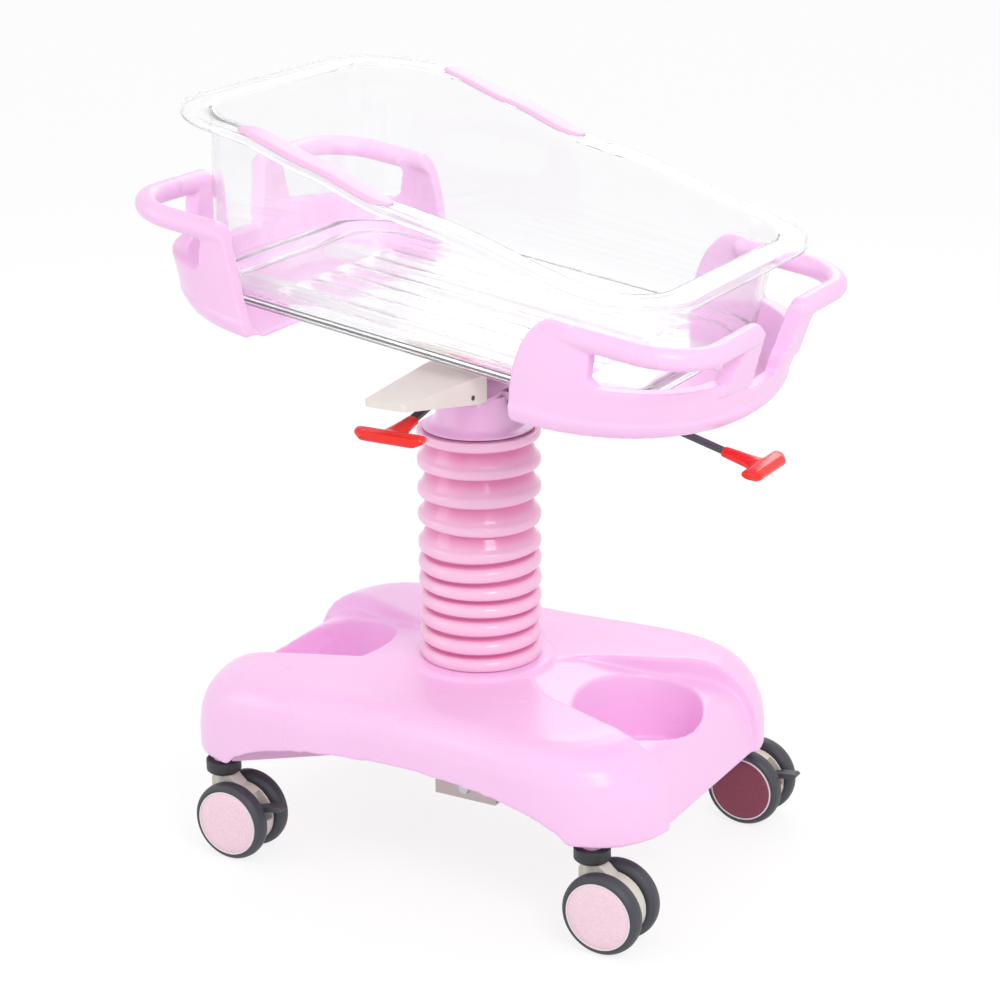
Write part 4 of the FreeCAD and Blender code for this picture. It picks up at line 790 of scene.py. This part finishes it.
def fluted(x, y):
    """How deep the floor's flutes are at a place: round grooves with round ends."""
    if abs(y) > FLUTE_SIDE:
        return 0.0
    across = 0.5 + 0.5 * math.cos(2.0 * math.pi * y / FLUTE_PITCH)
    fade = min(1.0, max(0.0, (FLUTE_HALF_L - abs(x)) / FLUTE_END))
    side = min(1.0, max(0.0, (FLUTE_SIDE - abs(y)) / FLUTE_EDGE))
    return FLUTE_DEPTH * across ** 0.7 * fade * fade * (3.0 - 2.0 * fade) * side


def floor_rings(edge_ring, height):
    """Rings from the wall's foot in to the middle, with the flutes pressed into them."""
    rings = []
    for step in range(1, FLOOR_RINGS):
        share = 1.0 - step / FLOOR_RINGS
        ring = []
        for x, y, _ in edge_ring:
            ring.append((x * share, y * share, height - fluted(x * share, y * share)))
        rings.append(ring)
    return rings


def tub_rings():
    """All the rings in order: under the floor, up the outside, over the rim, down the inside."""
    under_edge = level_ring(FLOOR_TOP - FLOOR_SHEET, -FLOOR_EDGE_IN)
    rings = list(reversed(floor_rings(under_edge, FLOOR_TOP - FLOOR_SHEET)))
    rings.append(under_edge)
    rings += [level_ring(TUB_FOOT + height, out) for height, out in FOOT_LINE]
    wall_foot = level_ring(LEDGE_Z + 0.004, 0.0)
    wall_head = rim_ring(RIM_T + 0.004, 0.0)
    rings += [between(wall_foot, wall_head, step / WALL_STEPS) for step in range(WALL_STEPS + 1)]
    rings += [rim_ring(drop, out) for drop, out in RIM_SECTION]
    inner_head = rim_ring(0.007, -TUB_WALL)
    inner_foot = level_ring(FLOOR_TOP + 0.020, -TUB_WALL)
    rings += [between(inner_head, inner_foot, step / WALL_STEPS) for step in range(WALL_STEPS + 1)]
    rings += [level_ring(FLOOR_TOP + height, -TUB_WALL - reach) for height, reach in FLOOR_COVE]
    return rings + floor_rings(rings[-1], FLOOR_TOP)


def clear_sheet(name):
    """Clear vacuum-formed polycarbonate: water-white, with a faint cold tint in thick edges. Lamps
    pass through it, so what stands inside is lit as through the real thin wall."""
    ripple_mm = 60.0
    material = new_material(name)
    tree = material.node_tree
    place = add_node(tree, "TexCoord")
    ripple = add_node(tree, "TexNoise", {"Scale": 1000.0 / ripple_mm, "Detail": 1.0},
                      {"Vector": place.outputs["Object"]})
    bump = add_node(tree, "Bump", {"Strength": 0.05, "Distance": 0.001},
                    {"Height": ripple.outputs["Fac"]})
    sheet = add_node(tree, "BsdfPrincipled",
                     {"Base Color": linear("#FEFEFF"), "Roughness": 0.03, "IOR": 1.45,
                      "Transmission Weight": 0.93},
                     {"Normal": bump.outputs[0]})
    lamp_path = add_node(tree, "BsdfTransparent", {"Color": linear("#FAF8FA")})
    path = add_node(tree, "LightPath")
    mixed = add_node(tree, "MixShader",
                     links={0: path.outputs["Is Shadow Ray"], 1: sheet.outputs[0],
                            2: lamp_path.outputs[0]})
    add_node(tree, "OutputMaterial", links={"Surface": mixed.outputs[0]})
    return material


clear_polycarbonate = clear_sheet("clear_polycarbonate")
rings = tub_rings()
to_crib = Matrix.Translation((0, 0, PIVOT_Z)) @ Matrix.Rotation(TUB_TILT, 4, "Y")
tub_points = [to_crib @ Vector(point) for ring in rings for point in ring]
tub_faces = []
for index in range(len(rings) - 1):
    for step in range(RING_POINTS):
        after = (step + 1) % RING_POINTS
        low = index * RING_POINTS
        high = low + RING_POINTS
        tub_faces.append((low + step, low + after, high + after, high + step))
last = (len(rings) - 1) * RING_POINTS
tub_points += [to_crib @ Vector((0, 0, FLOOR_TOP - FLOOR_SHEET - FLUTE_DEPTH)),
               to_crib @ Vector((0, 0, FLOOR_TOP - FLUTE_DEPTH))]
under_middle = len(tub_points) - 2
floor_middle = len(tub_points) - 1
for step in range(RING_POINTS):
    after = (step + 1) % RING_POINTS
    tub_faces.append((under_middle, after, step))
    tub_faces.append((floor_middle, last + step, last + after))
tub = mesh_piece("tub_tray", tub_points, tub_faces, clear_polycarbonate)
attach(tub, "cradle")
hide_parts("tub")


# Rim grips: a soft pink strip on each long side, pressed over the tub's rim where a parent
# leans in. They are moulded thermoplastic rubber, thin and satin, with round ends.

STRIP_START = -0.217
STRIP_END = -0.008
STRIP_HALF_W = 0.0195
STRIP_MID_Y = 0.2275
STRIP_THICK = 0.0034
STRIP_EDGE = 0.0003 + STRIP_THICK * 0.2
STRIP_CLEAR = 0.0004
STRIP_TIP = 0.001
STRIP_STEPS = 72
STRIP_ACROSS = 14


def strip_half_width(share):
    """Half the strip's width along its length: nearly even, and round at both ends."""
    return STRIP_HALF_W * (1.0 - abs(2.0 * share - 1.0) ** 7) ** 0.5


strip_rubber = moulded_abs("satin_pink_rubber", "#FBCBEF", "#F7C0E8", 0.36)
for side, sign in (("near", -1), ("far", 1)):
    points = []
    for step in range(STRIP_STEPS + 1):
        share = STRIP_TIP + (1.0 - 2.0 * STRIP_TIP) * step / STRIP_STEPS
        x = STRIP_START + (STRIP_END - STRIP_START) * share
        half_w = strip_half_width(share)
        for across in range(STRIP_ACROSS + 1):
            run = 2.0 * across / STRIP_ACROSS - 1.0
            crown = STRIP_THICK * (1.0 - abs(run) ** 6) * (half_w / STRIP_HALF_W) ** 0.5
            y = sign * (STRIP_MID_Y + half_w * run)
            points.append(to_crib @ Vector((x, y, rim_height(x) + STRIP_CLEAR + crown)))
    row = STRIP_ACROSS + 1
    under = len(points)
    points += [point - to_crib.to_3x3() @ Vector((0, 0, STRIP_EDGE)) for point in points]
    faces = []
    for step in range(STRIP_STEPS):
        for across in range(STRIP_ACROSS):
            low = step * row + across
            faces.append((low, low + 1, low + row + 1, low + row))
            faces.append((under + low, under + low + row, under + low + row + 1, under + low + 1))
        for low in (step * row, step * row + STRIP_ACROSS):
            faces.append((low, low + row, under + low + row, under + low))
    for across in range(STRIP_ACROSS):
        for low in (across, STRIP_STEPS * row + across):
            faces.append((low, low + 1, under + low + 1, under + low))
    strip = mesh_piece(side + "_rim_strip", points, faces, strip_rubber)
    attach(strip, "cradle")
    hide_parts(side + "_rim_grip")
